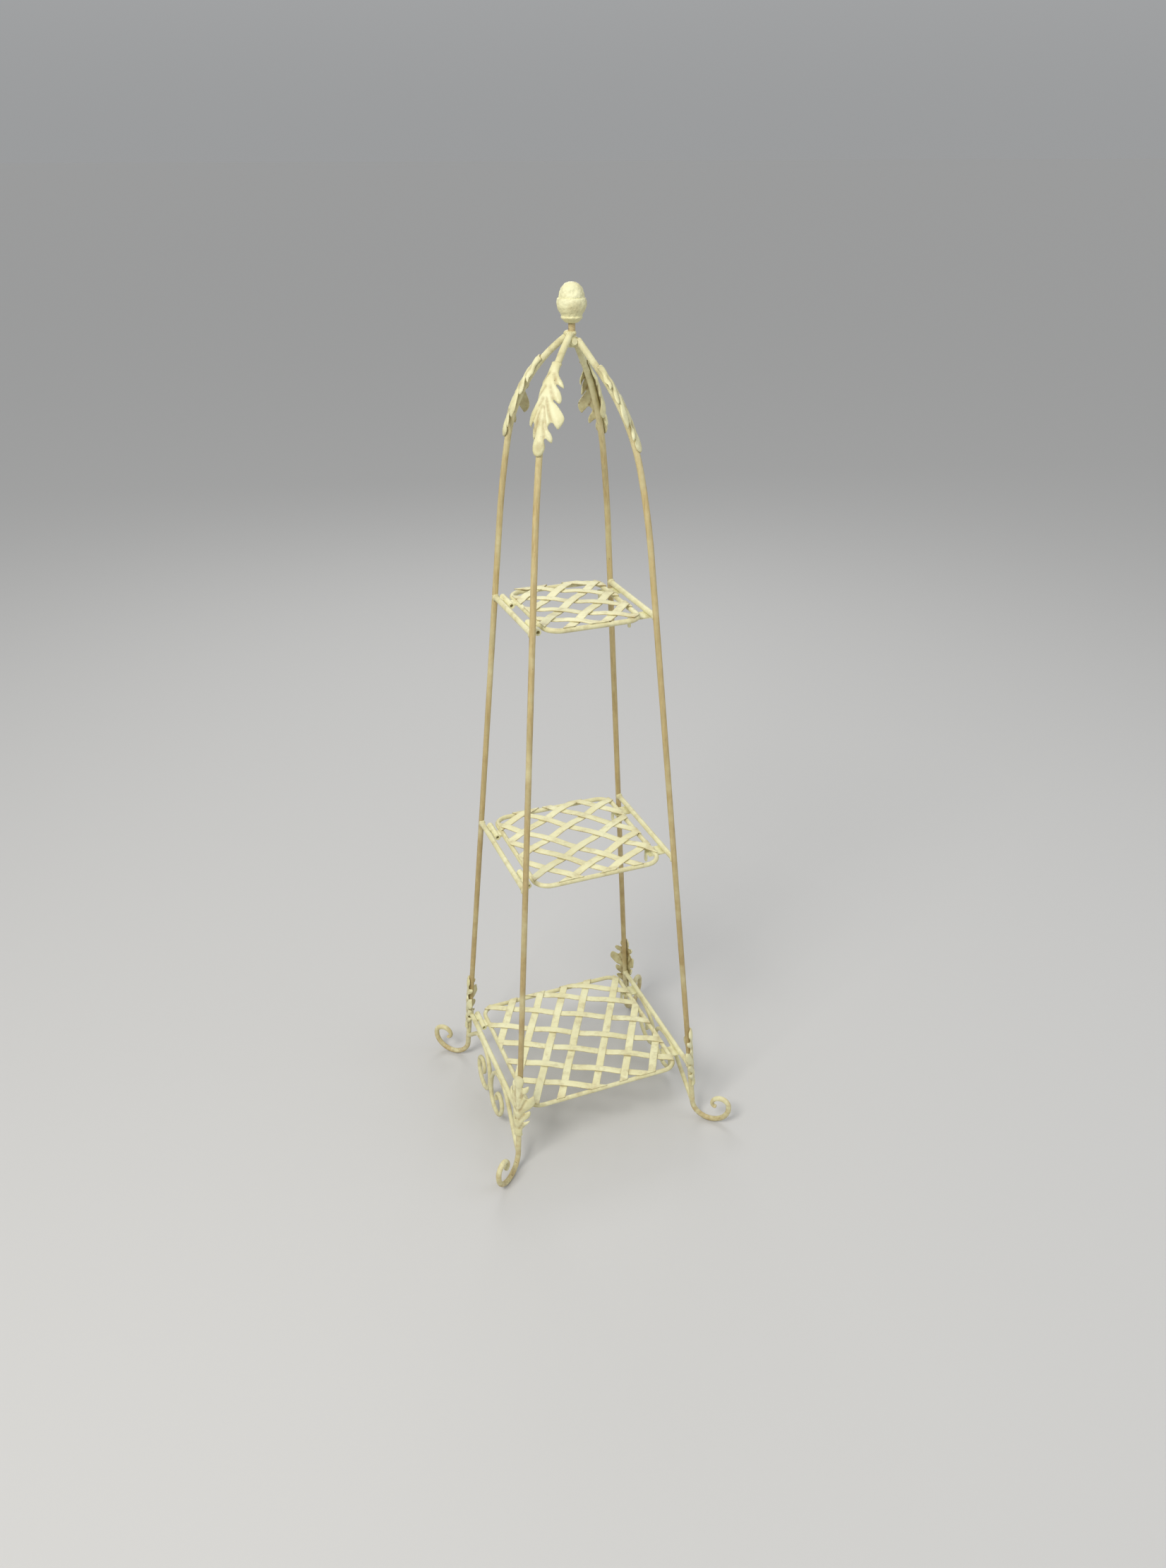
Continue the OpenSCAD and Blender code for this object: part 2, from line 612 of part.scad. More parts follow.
left_leg(FRONT);  // leg_front
left_leg(BACK);  // leg_left
right_leg(FRONT);  // leg_right
right_leg(BACK);  // leg_back
upper_leaf(LEFT, FRONT);  // upper_leaf_front
upper_leaf(LEFT, BACK);  // upper_leaf_left
upper_leaf(RIGHT, FRONT);  // upper_leaf_right
upper_leaf(RIGHT, BACK);  // upper_leaf_back
lower_leaf(LEFT, FRONT);  // lower_leaf_front
lower_leaf(LEFT, BACK);  // lower_leaf_left
lower_leaf(RIGHT, FRONT);  // lower_leaf_right
lower_leaf(RIGHT, BACK);  // lower_leaf_back
crossbar(BOTTOM, LEFT);  // left_bar_bottom
crossbar(MIDDLE, LEFT);  // left_bar_middle
crossbar(TOP, LEFT);  // left_bar_top
crossbar(BOTTOM, RIGHT);  // right_bar_bottom
crossbar(MIDDLE, RIGHT);  // right_bar_middle
crossbar(TOP, RIGHT);  // right_bar_top
apron(LEFT, FRONT);  // apron_left_front
apron(LEFT, BACK);  // apron_left_back
apron(RIGHT, FRONT);  // apron_right_front
apron(RIGHT, BACK);  // apron_right_back
apex_post();
pivot_pin();
lug(FRONT);  // lug_front
lug(BACK);  // lug_back
finial_stem();
acorn_cup();
acorn_nut();
rim(BOTTOM);  // bottom_rim
strap_set(BOTTOM, 0);  // bottom_straps_first
strap_set(BOTTOM, 1);  // bottom_straps_second
bar_knuckles(BOTTOM);  // bottom_bar_knuckles
shelf_knuckles(BOTTOM);  // bottom_shelf_knuckles
hinge_pins(BOTTOM);  // bottom_hinge_pins
rest_tabs(BOTTOM);  // bottom_rest_tabs
rim(MIDDLE);  // middle_rim
strap_set(MIDDLE, 0);  // middle_straps_first
strap_set(MIDDLE, 1);  // middle_straps_second
bar_knuckles(MIDDLE);  // middle_bar_knuckles
shelf_knuckles(MIDDLE);  // middle_shelf_knuckles
hinge_pins(MIDDLE);  // middle_hinge_pins
rest_tabs(MIDDLE);  // middle_rest_tabs
rim(TOP);  // top_rim
strap_set(TOP, 0);  // top_straps_first
strap_set(TOP, 1);  // top_straps_second
bar_knuckles(TOP);  // top_bar_knuckles
shelf_knuckles(TOP);  // top_shelf_knuckles
hinge_pins(TOP);  // top_hinge_pins
rest_tabs(TOP);  // top_rest_tabs
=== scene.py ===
# Looks of the folding garden obelisk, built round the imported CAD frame.
# Metres, +Z up, +X from the left frame to the right frame, +Y from the front legs to the back.
import bisect
import json
import math
from types import SimpleNamespace

import bmesh
import bpy
from mathutils import Matrix, Vector, geometry, noise


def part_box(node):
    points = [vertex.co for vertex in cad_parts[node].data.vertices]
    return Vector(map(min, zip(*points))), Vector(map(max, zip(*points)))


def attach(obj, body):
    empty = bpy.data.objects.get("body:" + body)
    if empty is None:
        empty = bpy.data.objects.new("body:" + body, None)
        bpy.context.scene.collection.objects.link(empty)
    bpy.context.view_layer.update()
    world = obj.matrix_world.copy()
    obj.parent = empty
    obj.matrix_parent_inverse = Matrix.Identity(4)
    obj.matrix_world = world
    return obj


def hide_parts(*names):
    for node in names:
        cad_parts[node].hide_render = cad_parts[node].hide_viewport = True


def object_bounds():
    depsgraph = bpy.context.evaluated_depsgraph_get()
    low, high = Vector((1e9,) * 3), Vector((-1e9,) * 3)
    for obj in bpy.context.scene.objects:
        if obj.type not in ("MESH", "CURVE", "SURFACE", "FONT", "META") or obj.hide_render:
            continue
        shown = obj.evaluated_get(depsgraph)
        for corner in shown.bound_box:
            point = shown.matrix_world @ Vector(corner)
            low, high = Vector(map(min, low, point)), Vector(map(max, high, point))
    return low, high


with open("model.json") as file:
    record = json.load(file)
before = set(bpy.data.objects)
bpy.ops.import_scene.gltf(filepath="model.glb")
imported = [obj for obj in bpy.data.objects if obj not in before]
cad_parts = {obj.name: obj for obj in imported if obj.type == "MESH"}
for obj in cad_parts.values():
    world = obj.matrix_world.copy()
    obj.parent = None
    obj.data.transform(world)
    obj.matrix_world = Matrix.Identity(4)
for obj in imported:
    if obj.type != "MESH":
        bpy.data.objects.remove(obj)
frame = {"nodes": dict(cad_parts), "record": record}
cad_low, cad_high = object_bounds()

MM = 0.001
FRONT, BACK = -1, 1
LEFT, RIGHT = -1, 1
LEVELS = ("bottom", "middle", "top")
LEGS = {"front": (LEFT, FRONT), "left": (LEFT, BACK), "right": (RIGHT, FRONT), "back": (RIGHT, BACK)}
BODY_OF_SIDE = {LEFT: "left_frame", RIGHT: "right_frame"}


# ---------------------------------------------------------------- sizes, from the frame
def middle_of(node):
    low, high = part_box(node)
    return (Vector(low) + Vector(high)) / 2


def size_of(node):
    low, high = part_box(node)
    return Vector(high) - Vector(low)


BAR = {level: middle_of("right_bar_" + level) for level in LEVELS}
BAR_R = size_of("right_bar_bottom").z / 2
RIM_Z = {level: middle_of(level + "_rim").z for level in LEVELS}
RIM_R = size_of("bottom_rim").z / 2
RIM_HALF = {level: (size_of(level + "_rim").x / 2 - RIM_R, size_of(level + "_rim").y / 2 - RIM_R)
            for level in LEVELS}
TOTAL_H = cad_high.z

# Angles are in degrees. A bend is (radius, angle) and a straight is (length,).
LEG_R = 3.75 * MM
LEG_LEAN = 6
LEG_AZIMUTH = 42.2
LEG_BENDS = {LEFT: ((1140 * MM, 5), (177 * MM, 41)), RIGHT: ((970 * MM, 6), (252 * MM, 27))}
FOOT_R = 27.5 * MM
FOOT_CENTRE = (211 * MM, FOOT_R + LEG_R)
FOOT_CURL = ((FOOT_R, 184), (12.5 * MM, 165), (5 * MM, 100))
APEX_H = 1090 * MM
LEG_END_REACH = 4.5 * MM
# How far from the middle each side's legs end.
TOP_STOP = {LEFT: LEG_END_REACH, RIGHT: 7.5 * MM}

CORNER_R = 20 * MM
STRAP_W = 11 * MM
STRAP_T = 1.5 * MM
# The two sets of straps of each shelf: their directions, and their places in millimetres.
STRAP_ANGLES = {"bottom": (60.3, -29.1), "middle": (30.5, -49.5), "top": (45.5, -32.5)}
STRAP_OFFSETS = {
    "bottom": ((-119, -81, -43, 2, 36, 70, 110), (-105, -69, -31, 5, 46, 86, 114)),
    "middle": ((-86, -57, -20, 26, 63, 96), (-85, -52, -21, 22, 56, 90)),
    "top": ((-60, -28, 4, 35, 63), (-61, -31, 6, 41, 75)),
}

APRON_R = 3.15 * MM
APRON_SHIFT = 8 * MM
APRON_ARCH = 45 * MM
APRON_INWARD = ((APRON_ARCH - APRON_R, 90), (4 * MM,), (26 * MM, 180), (13 * MM, 200))
APRON_SHOULDER_R, APRON_FALL = 50 * MM, 42


# ---------------------------------------------------------------- meshes
def ripple(point, scale, seed=0.0):
    """Smooth noise from -1 to 1 with features about 1 / scale metres across."""
    return noise.noise(Vector(point) * scale + Vector((seed * 7.3, seed * 3.1, seed * 5.7)))


def make_piece(name, verts, faces, material, body, replaced=(), grime_and_shade=None):
    """A closed, smooth mesh piece that rides on a body."""
    mesh = bpy.data.meshes.new(name)
    mesh.from_pydata([tuple(v) for v in verts], [], faces)
    bm = bmesh.new()
    bm.from_mesh(mesh)
    bmesh.ops.recalc_face_normals(bm, faces=bm.faces)
    bm.to_mesh(mesh)
    bm.free()
    mesh.shade_smooth()
    # A per-point attribute that darkens the paint: real soiling, plus painted shade in crevices, at joints
    # and on undersides.
    grime_and_shade_attribute = mesh.attributes.new("grime_and_shade", "FLOAT", "POINT")
    grime_and_shade_attribute.data.foreach_set("value", grime_and_shade if grime_and_shade else [0.0] * len(verts))
    mesh.materials.append(material)
    piece = bpy.data.objects.new(name, mesh)
    bpy.context.scene.collection.objects.link(piece)
    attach(piece, body)
    if replaced:
        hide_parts(*replaced)
    return piece


class Shell:
    """Gathers rings of points into one or more closed skins."""

    def __init__(self):
        self.verts, self.faces, self.grime_and_shade = [], [], []

    def add_rings(self, rings, grime_and_shade=None, closed=False, edge_grime_and_shade=None):
        """Skins rings of equal length; open ends are closed with a fan round their middle.
        grime is given per ring, and edge_grime_and_shade adds to it per point of a ring."""
        base, count, width = len(self.verts), len(rings), len(rings[0])
        for k, ring in enumerate(rings):
            self.verts += ring
            self.grime_and_shade += [(grime_and_shade[k] if grime_and_shade else 0.0) + extra for extra in edge_grime_and_shade or [0.0] * width]
        for k in range(count if closed else count - 1):
            a, b = base + k * width, base + (k + 1) % count * width
            for j in range(width):
                n = (j + 1) % width
                self.faces.append((a + j, a + n, b + n, b + j))
        if not closed:
            for k in (0, count - 1):
                self.verts.append(sum((Vector(v) for v in rings[k]), Vector()) / width)
                self.grime_and_shade.append(grime_and_shade[k] if grime_and_shade else 0.0)
                hub, start = len(self.verts) - 1, base + k * width
                self.faces += [(hub, start + j, start + (j + 1) % width) for j in range(width)]

    def piece(self, name, material, body, replaced=(), slot=None):
        return make_piece(name, self.verts, self.faces, material, body, replaced, self.grime_and_shade)


def trace(start, heading, steps, spacing=3 * MM, turn=1):
    """Points and headings, in degrees, along a flat path of (length,) and (radius, angle) steps.
    A bend turns left when turn is 1 and right when it is -1."""
    x, y = start
    points, headings = [(x, y)], [heading]
    for step in steps:
        if len(step) == 1:
            count = max(1, round(step[0] / spacing))
            h = math.radians(heading)
            for k in range(1, count + 1):
                d = step[0] * k / count
                points.append((x + d * math.cos(h), y + d * math.sin(h)))
                headings.append(heading)
        else:
            radius, angle = step
            count = max(4, round(radius * math.radians(angle) / min(spacing, radius * 0.15)))
            side = math.radians(heading + 90 * turn)
            cx, cy = x + radius * math.cos(side), y + radius * math.sin(side)
            for k in range(1, count + 1):
                swing = turn * angle * k / count
                out = side + math.pi + math.radians(swing)
                points.append((cx + radius * math.cos(out), cy + radius * math.sin(out)))
                headings.append(heading + swing)
            heading += turn * angle
        x, y = points[-1]
    return points, headings


def rod(shell, points, normals, across, radius, sides=20, taper=None, closed=False, seed=0.0,
        grime_and_shade=None):
    """Sweeps a slightly uneven round rod along 3D points. normals point to one side of the path and
    across to the other. taper gives each ring's two radii as shares of the radius."""
    rings = []
    for k, point in enumerate(points):
        wide, deep = taper[k] if taper else (1.0, 1.0)
        ring = []
        for j in range(sides):
            a = 2 * math.pi * j / sides
            spoke = normals[k] * (wide * math.cos(a)) + across[k] * (deep * math.sin(a))
            spot = point + spoke * radius
            ring.append(point + spoke * radius * (1 + 0.018 * ripple(spot, 140, seed)))
        rings.append(ring)
    if not closed:
        rings = rounded_end(rings, True) + rings + rounded_end(rings, False)
        pad = 3
        grime_and_shade = [grime_and_shade[0]] * pad + list(grime_and_shade) + [grime_and_shade[-1]] * pad if grime_and_shade else None
    shell.add_rings(rings, grime_and_shade, closed)


def rounded_end(rings, first):
    """Three shrinking rings that dome the end of a rod."""
    end, inner = (rings[0], rings[1]) if first else (rings[-1], rings[-2])
    middle = sum(end, Vector()) / len(end)
    back = sum(inner, Vector()) / len(inner)
    out = (middle - back).normalized()
    radius = sum((v - middle).length for v in end) / len(end)
    dome = []
    for angle in (25, 50, 75):
        a = math.radians(angle)
        lift = out * (radius * 0.6 * math.sin(a))
        dome.append([middle + (v - middle) * math.cos(a) + lift for v in end])
    return dome[::-1] if first else dome


# ---------------------------------------------------------------- materials
def shader_kit(name):
    """A new material with the helpers that wire its shader."""
    material = bpy.data.materials.new(name)
    material.use_nodes = True
    tree = material.node_tree
    shader = tree.nodes["Principled BSDF"]
    where = tree.nodes.new("ShaderNodeTexCoord")

    def noise_at(scale, detail=3.0, stretch=(1, 1, 1), rough=0.55, shift=0.0):
        place = tree.nodes.new("ShaderNodeMapping")
        place.inputs["Scale"].default_value = stretch
        place.inputs["Location"].default_value = (shift, shift * 0.7, shift * 1.3)
        tree.links.new(where.outputs["Object"], place.inputs["Vector"])
        n = tree.nodes.new("ShaderNodeTexNoise")
        n.inputs["Scale"].default_value = scale
        n.inputs["Detail"].default_value = detail
        n.inputs["Roughness"].default_value = rough
        tree.links.new(place.outputs["Vector"], n.inputs["Vector"])
        return n.outputs["Fac"]

    def span(value, low, high, to_low=0.0, to_high=1.0):
        n = tree.nodes.new("ShaderNodeMapRange")
        n.inputs["From Min"].default_value = low
        n.inputs["From Max"].default_value = high
        n.inputs["To Min"].default_value = to_low
        n.inputs["To Max"].default_value = to_high
        tree.links.new(value, n.inputs["Value"])
        return n.outputs["Result"]

    def math_of(kind, a, b):
        n = tree.nodes.new("ShaderNodeMath")
        n.operation = kind
        for socket, v in zip(n.inputs, (a, b)):
            if isinstance(v, (int, float)):
                socket.default_value = v
            else:
                tree.links.new(v, socket)
        return n.outputs["Value"]

    def times(a, b):
        return math_of("MULTIPLY", a, b)

    def mix(factor, a, b):
        n = tree.nodes.new("ShaderNodeMix")
        n.data_type = "RGBA"
        sockets = [s for s in n.inputs if s.enabled]
        for socket, v in zip(sockets, (factor, a, b)):
            if isinstance(v, (int, float)):
                socket.default_value = v
            elif isinstance(v, tuple):
                socket.default_value = (*v, 1.0)
            else:
                tree.links.new(v, socket)
        return [s for s in n.outputs if s.enabled][0]

    def grime_and_shade():
        n = tree.nodes.new("ShaderNodeAttribute")
        n.attribute_name = "grime_and_shade"
        return n.outputs["Fac"]

    def height():
        n = tree.nodes.new("ShaderNodeSeparateXYZ")
        tree.links.new(where.outputs["Object"], n.inputs["Vector"])
        return n.outputs["Z"]

    def bump(value, strength, distance, below=None):
        n = tree.nodes.new("ShaderNodeBump")
        n.inputs["Strength"].default_value = strength
        n.inputs["Distance"].default_value = distance
        tree.links.new(value, n.inputs["Height"])
        if below:
            tree.links.new(below, n.inputs["Normal"])
        return n.outputs["Normal"]

    def finish(colour, roughness, normal):
        tree.links.new(colour, shader.inputs["Base Color"])
        tree.links.new(roughness, shader.inputs["Roughness"])
        tree.links.new(normal, shader.inputs["Normal"])
        return material

    return SimpleNamespace(shader=shader, noise_at=noise_at, span=span, math_of=math_of, times=times,
                           mix=mix, grime_and_shade=grime_and_shade, height=height, bump=bump, finish=finish)


CREAM = (0.69, 0.65, 0.365)
CREAM_PALE = (0.79, 0.77, 0.49)
CREAM_DULL = (0.51, 0.45, 0.245)
TAN = (0.60, 0.475, 0.225)
TAN_DARK = (0.34, 0.235, 0.09)
RUST = (0.20, 0.085, 0.03)
RUST_DARK = (0.055, 0.03, 0.018)


def old_paint(name, tanned, casting=0.0):
    """Old cream paint: uneven tone, soiling and painted shade in the corners, rust where it has chipped.
    tanned is how far the straight legs have yellowed; casting roughens the surface."""
    kit = shader_kit(name)
    tone = kit.noise_at(28, 4)
    colour = kit.mix(kit.span(tone, 0.35, 0.65), CREAM, CREAM_PALE)
    colour = kit.mix(kit.span(kit.noise_at(75, 5, shift=4.0), 0.52, 0.72, 0, 0.75), colour, CREAM_DULL)
    if tanned:
        streaks = kit.noise_at(420, 3, (1, 1, 0.035), shift=2.0)
        brown = kit.mix(kit.span(streaks, 0.44, 0.70, 0.0, 0.7), TAN, TAN_DARK)
        worn = kit.noise_at(260, 2, (1, 1, 0.05), shift=8.0)
        brown = kit.mix(kit.span(worn, 0.52, 0.60, 0, 0.55), brown, CREAM_DULL)
        soot = kit.span(kit.noise_at(60, 3, shift=11.0), 0.3, 0.7, 0.3, 0.8)
        brown = kit.mix(kit.times(kit.span(kit.height(), 0.85, 0.25), soot), brown, TAN_DARK)
        low = kit.span(kit.height(), 0.055, 0.13)
        high = kit.span(kit.height(), 1.03, 0.93)
        patchy = kit.span(kit.noise_at(16, 3, shift=6.0), 0.30, 0.50, 0.45, 1)
        amount = kit.times(kit.times(low, high), patchy)
        colour = kit.mix(kit.times(amount, tanned), colour, brown)
        mud = kit.span(kit.noise_at(95, 5, shift=13.0), 0.42, 0.62, 0, 0.75)
        colour = kit.mix(kit.times(kit.span(kit.height(), 0.10, 0.02), mud), colour, TAN)
    fine = kit.noise_at(900, 3, shift=1.0)
    # Mixes in TAN_DARK by the per-point attribute: real soiling, and painted shade in crevices, at joints
    # and on undersides.
    dirt_and_shade_depth = kit.grime_and_shade()
    dirt_and_shade = kit.times(dirt_and_shade_depth, kit.span(kit.noise_at(160, 5, shift=3.0), 0.30, 0.62, 0.25, 1.0))
    colour = kit.mix(kit.times(dirt_and_shade, 0.8), colour, TAN_DARK)
    speck = kit.span(kit.noise_at(700, 2, shift=9.0), 0.72, 0.76)
    spread = kit.span(kit.noise_at(38, 3, shift=5.0), 0.45, 0.62)
    chip = kit.times(speck, spread)
    chipping = kit.math_of("ADD", kit.noise_at(330, 4, shift=7.0), kit.times(kit.grime_and_shade(), 0.11))
    edge_chip = kit.span(chipping, 0.76, 0.79)
    chip = kit.math_of("MAXIMUM", chip, edge_chip)
    colour = kit.mix(chip, colour, kit.mix(kit.span(fine, 0.4, 0.6), RUST, RUST_DARK))
    rough = kit.math_of("ADD", kit.span(tone, 0.3, 0.7, 0.42, 0.58), kit.times(chip, 0.3))
    kit.shader.inputs["Specular IOR Level"].default_value = 0.45
    lumps = kit.bump(kit.noise_at(210, 4, shift=2.5), 0.35 + 0.4 * casting, (0.5 + 1.2 * casting) * MM)
    grain = kit.bump(fine, 0.25 + 0.3 * casting, 0.25 * MM, lumps)
    chipped = kit.bump(kit.math_of("SUBTRACT", 1.0, chip), 0.5, 0.25 * MM, grain)
    return kit.finish(colour, rough, chipped)


def rusty_steel():
    """Bare steel with a skin of rust and smears of the paint next to it."""
    kit = shader_kit("rusty_steel")
    coarse = kit.noise_at(240, 5)
    colour = kit.mix(kit.span(coarse, 0.35, 0.65), RUST_DARK, RUST)
    colour = kit.mix(kit.span(kit.noise_at(130, 4, shift=3.0), 0.36, 0.50, 0, 0.75), colour, TAN)
    colour = kit.mix(kit.span(kit.noise_at(210, 4, shift=6.0), 0.50, 0.60, 0, 0.45), colour, CREAM_DULL)
    rough = kit.span(coarse, 0.3, 0.7, 0.6, 0.85)
    return kit.finish(colour, rough, kit.bump(kit.noise_at(700, 4, shift=1.0), 0.6, 0.4 * MM))


def plain(name, colour, roughness):
    material = bpy.data.materials.new(name)
    material.use_nodes = True
    shader = material.node_tree.nodes["Principled BSDF"]
    shader.inputs["Base Color"].default_value = (*colour, 1.0)
    shader.inputs["Roughness"].default_value = roughness
    return material


PAINT = old_paint("cream_paint", 0.0)
LEG_PAINT = old_paint("aged_paint", 0.95)
CAST_PAINT = old_paint("cast_paint", 0.0, casting=1.0)
STEEL = rusty_steel()


# ---------------------------------------------------------------- legs
def top_lean(side):
    return LEG_LEAN + sum(angle for _, angle in LEG_BENDS[side])


def leg_base():
    """Where the straight lower leg starts, as (distance from the middle, height)."""
    lean = math.radians(LEG_LEAN)
    return FOOT_CENTRE[0] - FOOT_R * math.cos(lean), FOOT_CENTRE[1] - FOOT_R * math.sin(lean)


def leg_path(side):
    """The whole leg in its own upright plane, from the tip of the foot's curl to the apex."""
    lean = math.radians(LEG_LEAN)
    base = leg_base()
    foot, foot_headings = trace(base, LEG_LEAN - 90, FOOT_CURL)
    bends = trace((0, 0), 90 + LEG_LEAN, LEG_BENDS[side])[0][-1]
    top = math.radians(top_lean(side))
    stop = TOP_STOP[side]
    goal = (base[0] - stop, APEX_H - stop / math.tan(top) - base[1])
    left_x, left_z = goal[0] + bends[0], goal[1] - bends[1]
    top_straight = ((left_x * math.cos(lean) - left_z * math.sin(lean)) / math.sin(top - lean))
    low_straight = (left_x - top_straight * math.sin(top)) / math.sin(lean)
    steps = ((low_straight,), *LEG_BENDS[side], (top_straight,))
    up, up_headings = trace(base, 90 + LEG_LEAN, steps, 4 * MM)
    points = foot[:0:-1] + up
    headings = [h + 180 for h in foot_headings[:0:-1]] + up_headings
    return points, headings, len(foot) - 1


def leg_plane(leg):
    """Outward and sideways directions of a leg's upright plane."""
    x, y = LEGS[leg]
    turn = math.atan2(y * math.sin(math.radians(LEG_AZIMUTH)), x * math.cos(math.radians(LEG_AZIMUTH)))
    return Vector((math.cos(turn), math.sin(turn), 0)), Vector((-math.sin(turn), math.cos(turn), 0))


UP = Vector((0, 0, 1))
FOOT_TIP_L = 26 * MM
MUD_H = 45 * MM


def make_leg(leg, seed):
    """One leg's rod, hammered flatter towards the tip of its foot and dirtier near the floor."""
    side = LEGS[leg][0]
    outward, sideways = leg_plane(leg)
    points, headings, _ = leg_path(side)
    spots = [outward * r + UP * z for r, z in points]
    normals = [outward * -math.sin(math.radians(h)) + UP * math.cos(math.radians(h)) for h in headings]
    travelled = [0.0]
    for a, b in zip(spots, spots[1:]):
        travelled.append(travelled[-1] + (b - a).length)
    taper = []
    for d in travelled:
        t = min(1.0, d / FOOT_TIP_L)
        taper.append((0.55 + 0.45 * t, 0.92 + 0.08 * t))
    grime_and_shade = [0.25 + 0.6 * max(0.0, 1 - p.z / MUD_H) for p in spots]
    shell = Shell()
    rod(shell, spots, normals, [sideways] * len(spots), LEG_R, 24, taper, seed=seed, grime_and_shade=grime_and_shade)
    shell.piece("leg_rod_" + leg, LEG_PAINT, BODY_OF_SIDE[side], ["leg_" + leg], "aged_paint")


for number, leg_name in enumerate(LEGS):
    make_leg(leg_name, number + 1.0)


# ---------------------------------------------------------------- crossbars, rims, aprons
def leg_reach(z):
    """Distance of a straight lower leg's axis from the middle."""
    base_r, base_z = leg_base()
    return base_r - (z - base_z) * math.tan(math.radians(LEG_LEAN))


# The crossbars look a little thinner than their CAD rod.
BAR_WAIST = 0.94


def make_crossbar(level, side):
    """A crossbar between the two legs of one frame, darker at its welded ends from soiling and painted
    shade.
    """
    z = BAR[level].z
    x = side * leg_reach(z) * math.cos(math.radians(LEG_AZIMUTH))
    half = leg_reach(z) * math.sin(math.radians(LEG_AZIMUTH))
    count = round(2 * half / (4 * MM))
    spots = [Vector((x, -half + 2 * half * k / count, z)) for k in range(count + 1)]
    ends = [min(abs(p.y + half), abs(p.y - half)) for p in spots]
    # Painted shade, with soiling, where the bar meets its legs.
    grime_and_shade = [0.15 + 0.7 * math.exp(-d / (7 * MM)) for d in ends]
    shell = Shell()
    rod(shell, spots, [UP] * len(spots), [Vector((1, 0, 0))] * len(spots), BAR_R * BAR_WAIST, 20,
        seed=side * 3 + z, grime_and_shade=grime_and_shade)
    name = ("left" if side == LEFT else "right") + "_bar_" + level
    shell.piece(name + "_rod", PAINT, BODY_OF_SIDE[side], [name], "cream_paint")


def rim_loop(level, spacing=3 * MM):
    """Centre line of a shelf's rim, as points and outward directions, counter-clockwise."""
    hx, hy = RIM_HALF[level]
    points, outs = [], []
    corners = ((hx, hy, 0), (-hx, hy, 90), (-hx, -hy, 180), (hx, -hy, 270))
    for k, (cx, cy, start) in enumerate(corners):
        mid = Vector((cx - math.copysign(CORNER_R, cx), cy - math.copysign(CORNER_R, cy), RIM_Z[level]))
        arc_count = 12
        for j in range(arc_count + 1):
            a = math.radians(start + 90 * j / arc_count)
            out = Vector((math.cos(a), math.sin(a), 0))
            points.append(mid + out * CORNER_R)
            outs.append(out)
        nx, ny, _ = corners[(k + 1) % 4]
        a = math.radians(start + 90)
        out = Vector((math.cos(a), math.sin(a), 0))
        following = Vector((nx - math.copysign(CORNER_R, nx), ny - math.copysign(CORNER_R, ny),
                            RIM_Z[level])) + out * CORNER_R
        length = (following - points[-1]).length
        count = max(1, round(length / spacing))
        begin = points[-1].copy()
        for j in range(1, count):
            points.append(begin.lerp(following, j / count))
            outs.append(out)
    return points, outs


def make_rim(level, seed):
    """The closed rod round a shelf."""
    points, outs = rim_loop(level)
    shell = Shell()
    rod(shell, points, outs, [UP] * len(points), RIM_R, 18, closed=True, seed=seed,
        grime_and_shade=[0.3] * len(points))
    shell.piece(level + "_rim_rod", PAINT, level + "_shelf", [level + "_rim"], "cream_paint")


def make_apron(side, end):
    """One scroll under the lowest crossbar, from its leg over the shoulder to the curled tip. It is
    drawn in the leaning plane of its frame, with u along the crossbar and v up from it."""
    tilt = math.atan(math.tan(math.radians(LEG_LEAN)) * math.cos(math.radians(LEG_AZIMUTH)))
    z = BAR["bottom"].z
    origin = Vector((side * leg_reach(z) * math.cos(math.radians(LEG_AZIMUTH)), 0, z))
    rise = Vector((-side * math.sin(tilt), 0, math.cos(tilt)))
    face = Vector((math.cos(tilt), 0, side * math.sin(tilt)))
    top = -(BAR_R + APRON_R - 0.25 * MM)
    inward, in_heads = trace((0, top), 0, APRON_INWARD, 2 * MM, -1)
    foot_y = leg_base()[0] * math.sin(math.radians(LEG_AZIMUTH))
    fall = math.radians(APRON_FALL)
    arm_run = foot_y - abs(end * APRON_ARCH + APRON_SHIFT) - APRON_SHOULDER_R * math.sin(fall)
    arm = ((APRON_SHOULDER_R, APRON_FALL), (arm_run / math.cos(fall),))
    outward, out_heads = trace((0, top), 180, arm, 2 * MM, 1)
    flat = outward[:0:-1] + inward
    heads = [h + 180 for h in out_heads[:0:-1]] + in_heads
    spots, normals = [], []
    for (u, v), h in zip(flat, heads):
        spots.append(origin + Vector((0, end * (APRON_ARCH - u) + APRON_SHIFT, 0)) + rise * v)
        a = math.radians(h)
        normals.append(Vector((0, end * math.sin(a), 0)) + rise * math.cos(a))
    tip_rings = 12
    taper = [(min(1.0, 0.6 + 0.4 * (len(spots) - 1 - k) / tip_rings), 1.0) for k in range(len(spots))]
    shell = Shell()
    rod(shell, spots, normals, [face] * len(spots), APRON_R, 18, taper, seed=side + 2 * end,
        grime_and_shade=[0.3] * len(spots))
    name = "apron_" + ("left" if side == LEFT else "right") + "_" + ("front" if end == FRONT else "back")
    shell.piece(name + "_rod", PAINT, BODY_OF_SIDE[side], [name], "cream_paint")


for number, level_name in enumerate(LEVELS):
    make_rim(level_name, number + 11.0)
    for bar_side in (LEFT, RIGHT):
        make_crossbar(level_name, bar_side)
for apron_side in (LEFT, RIGHT):
    for apron_end in (FRONT, BACK):
        make_apron(apron_side, apron_end)


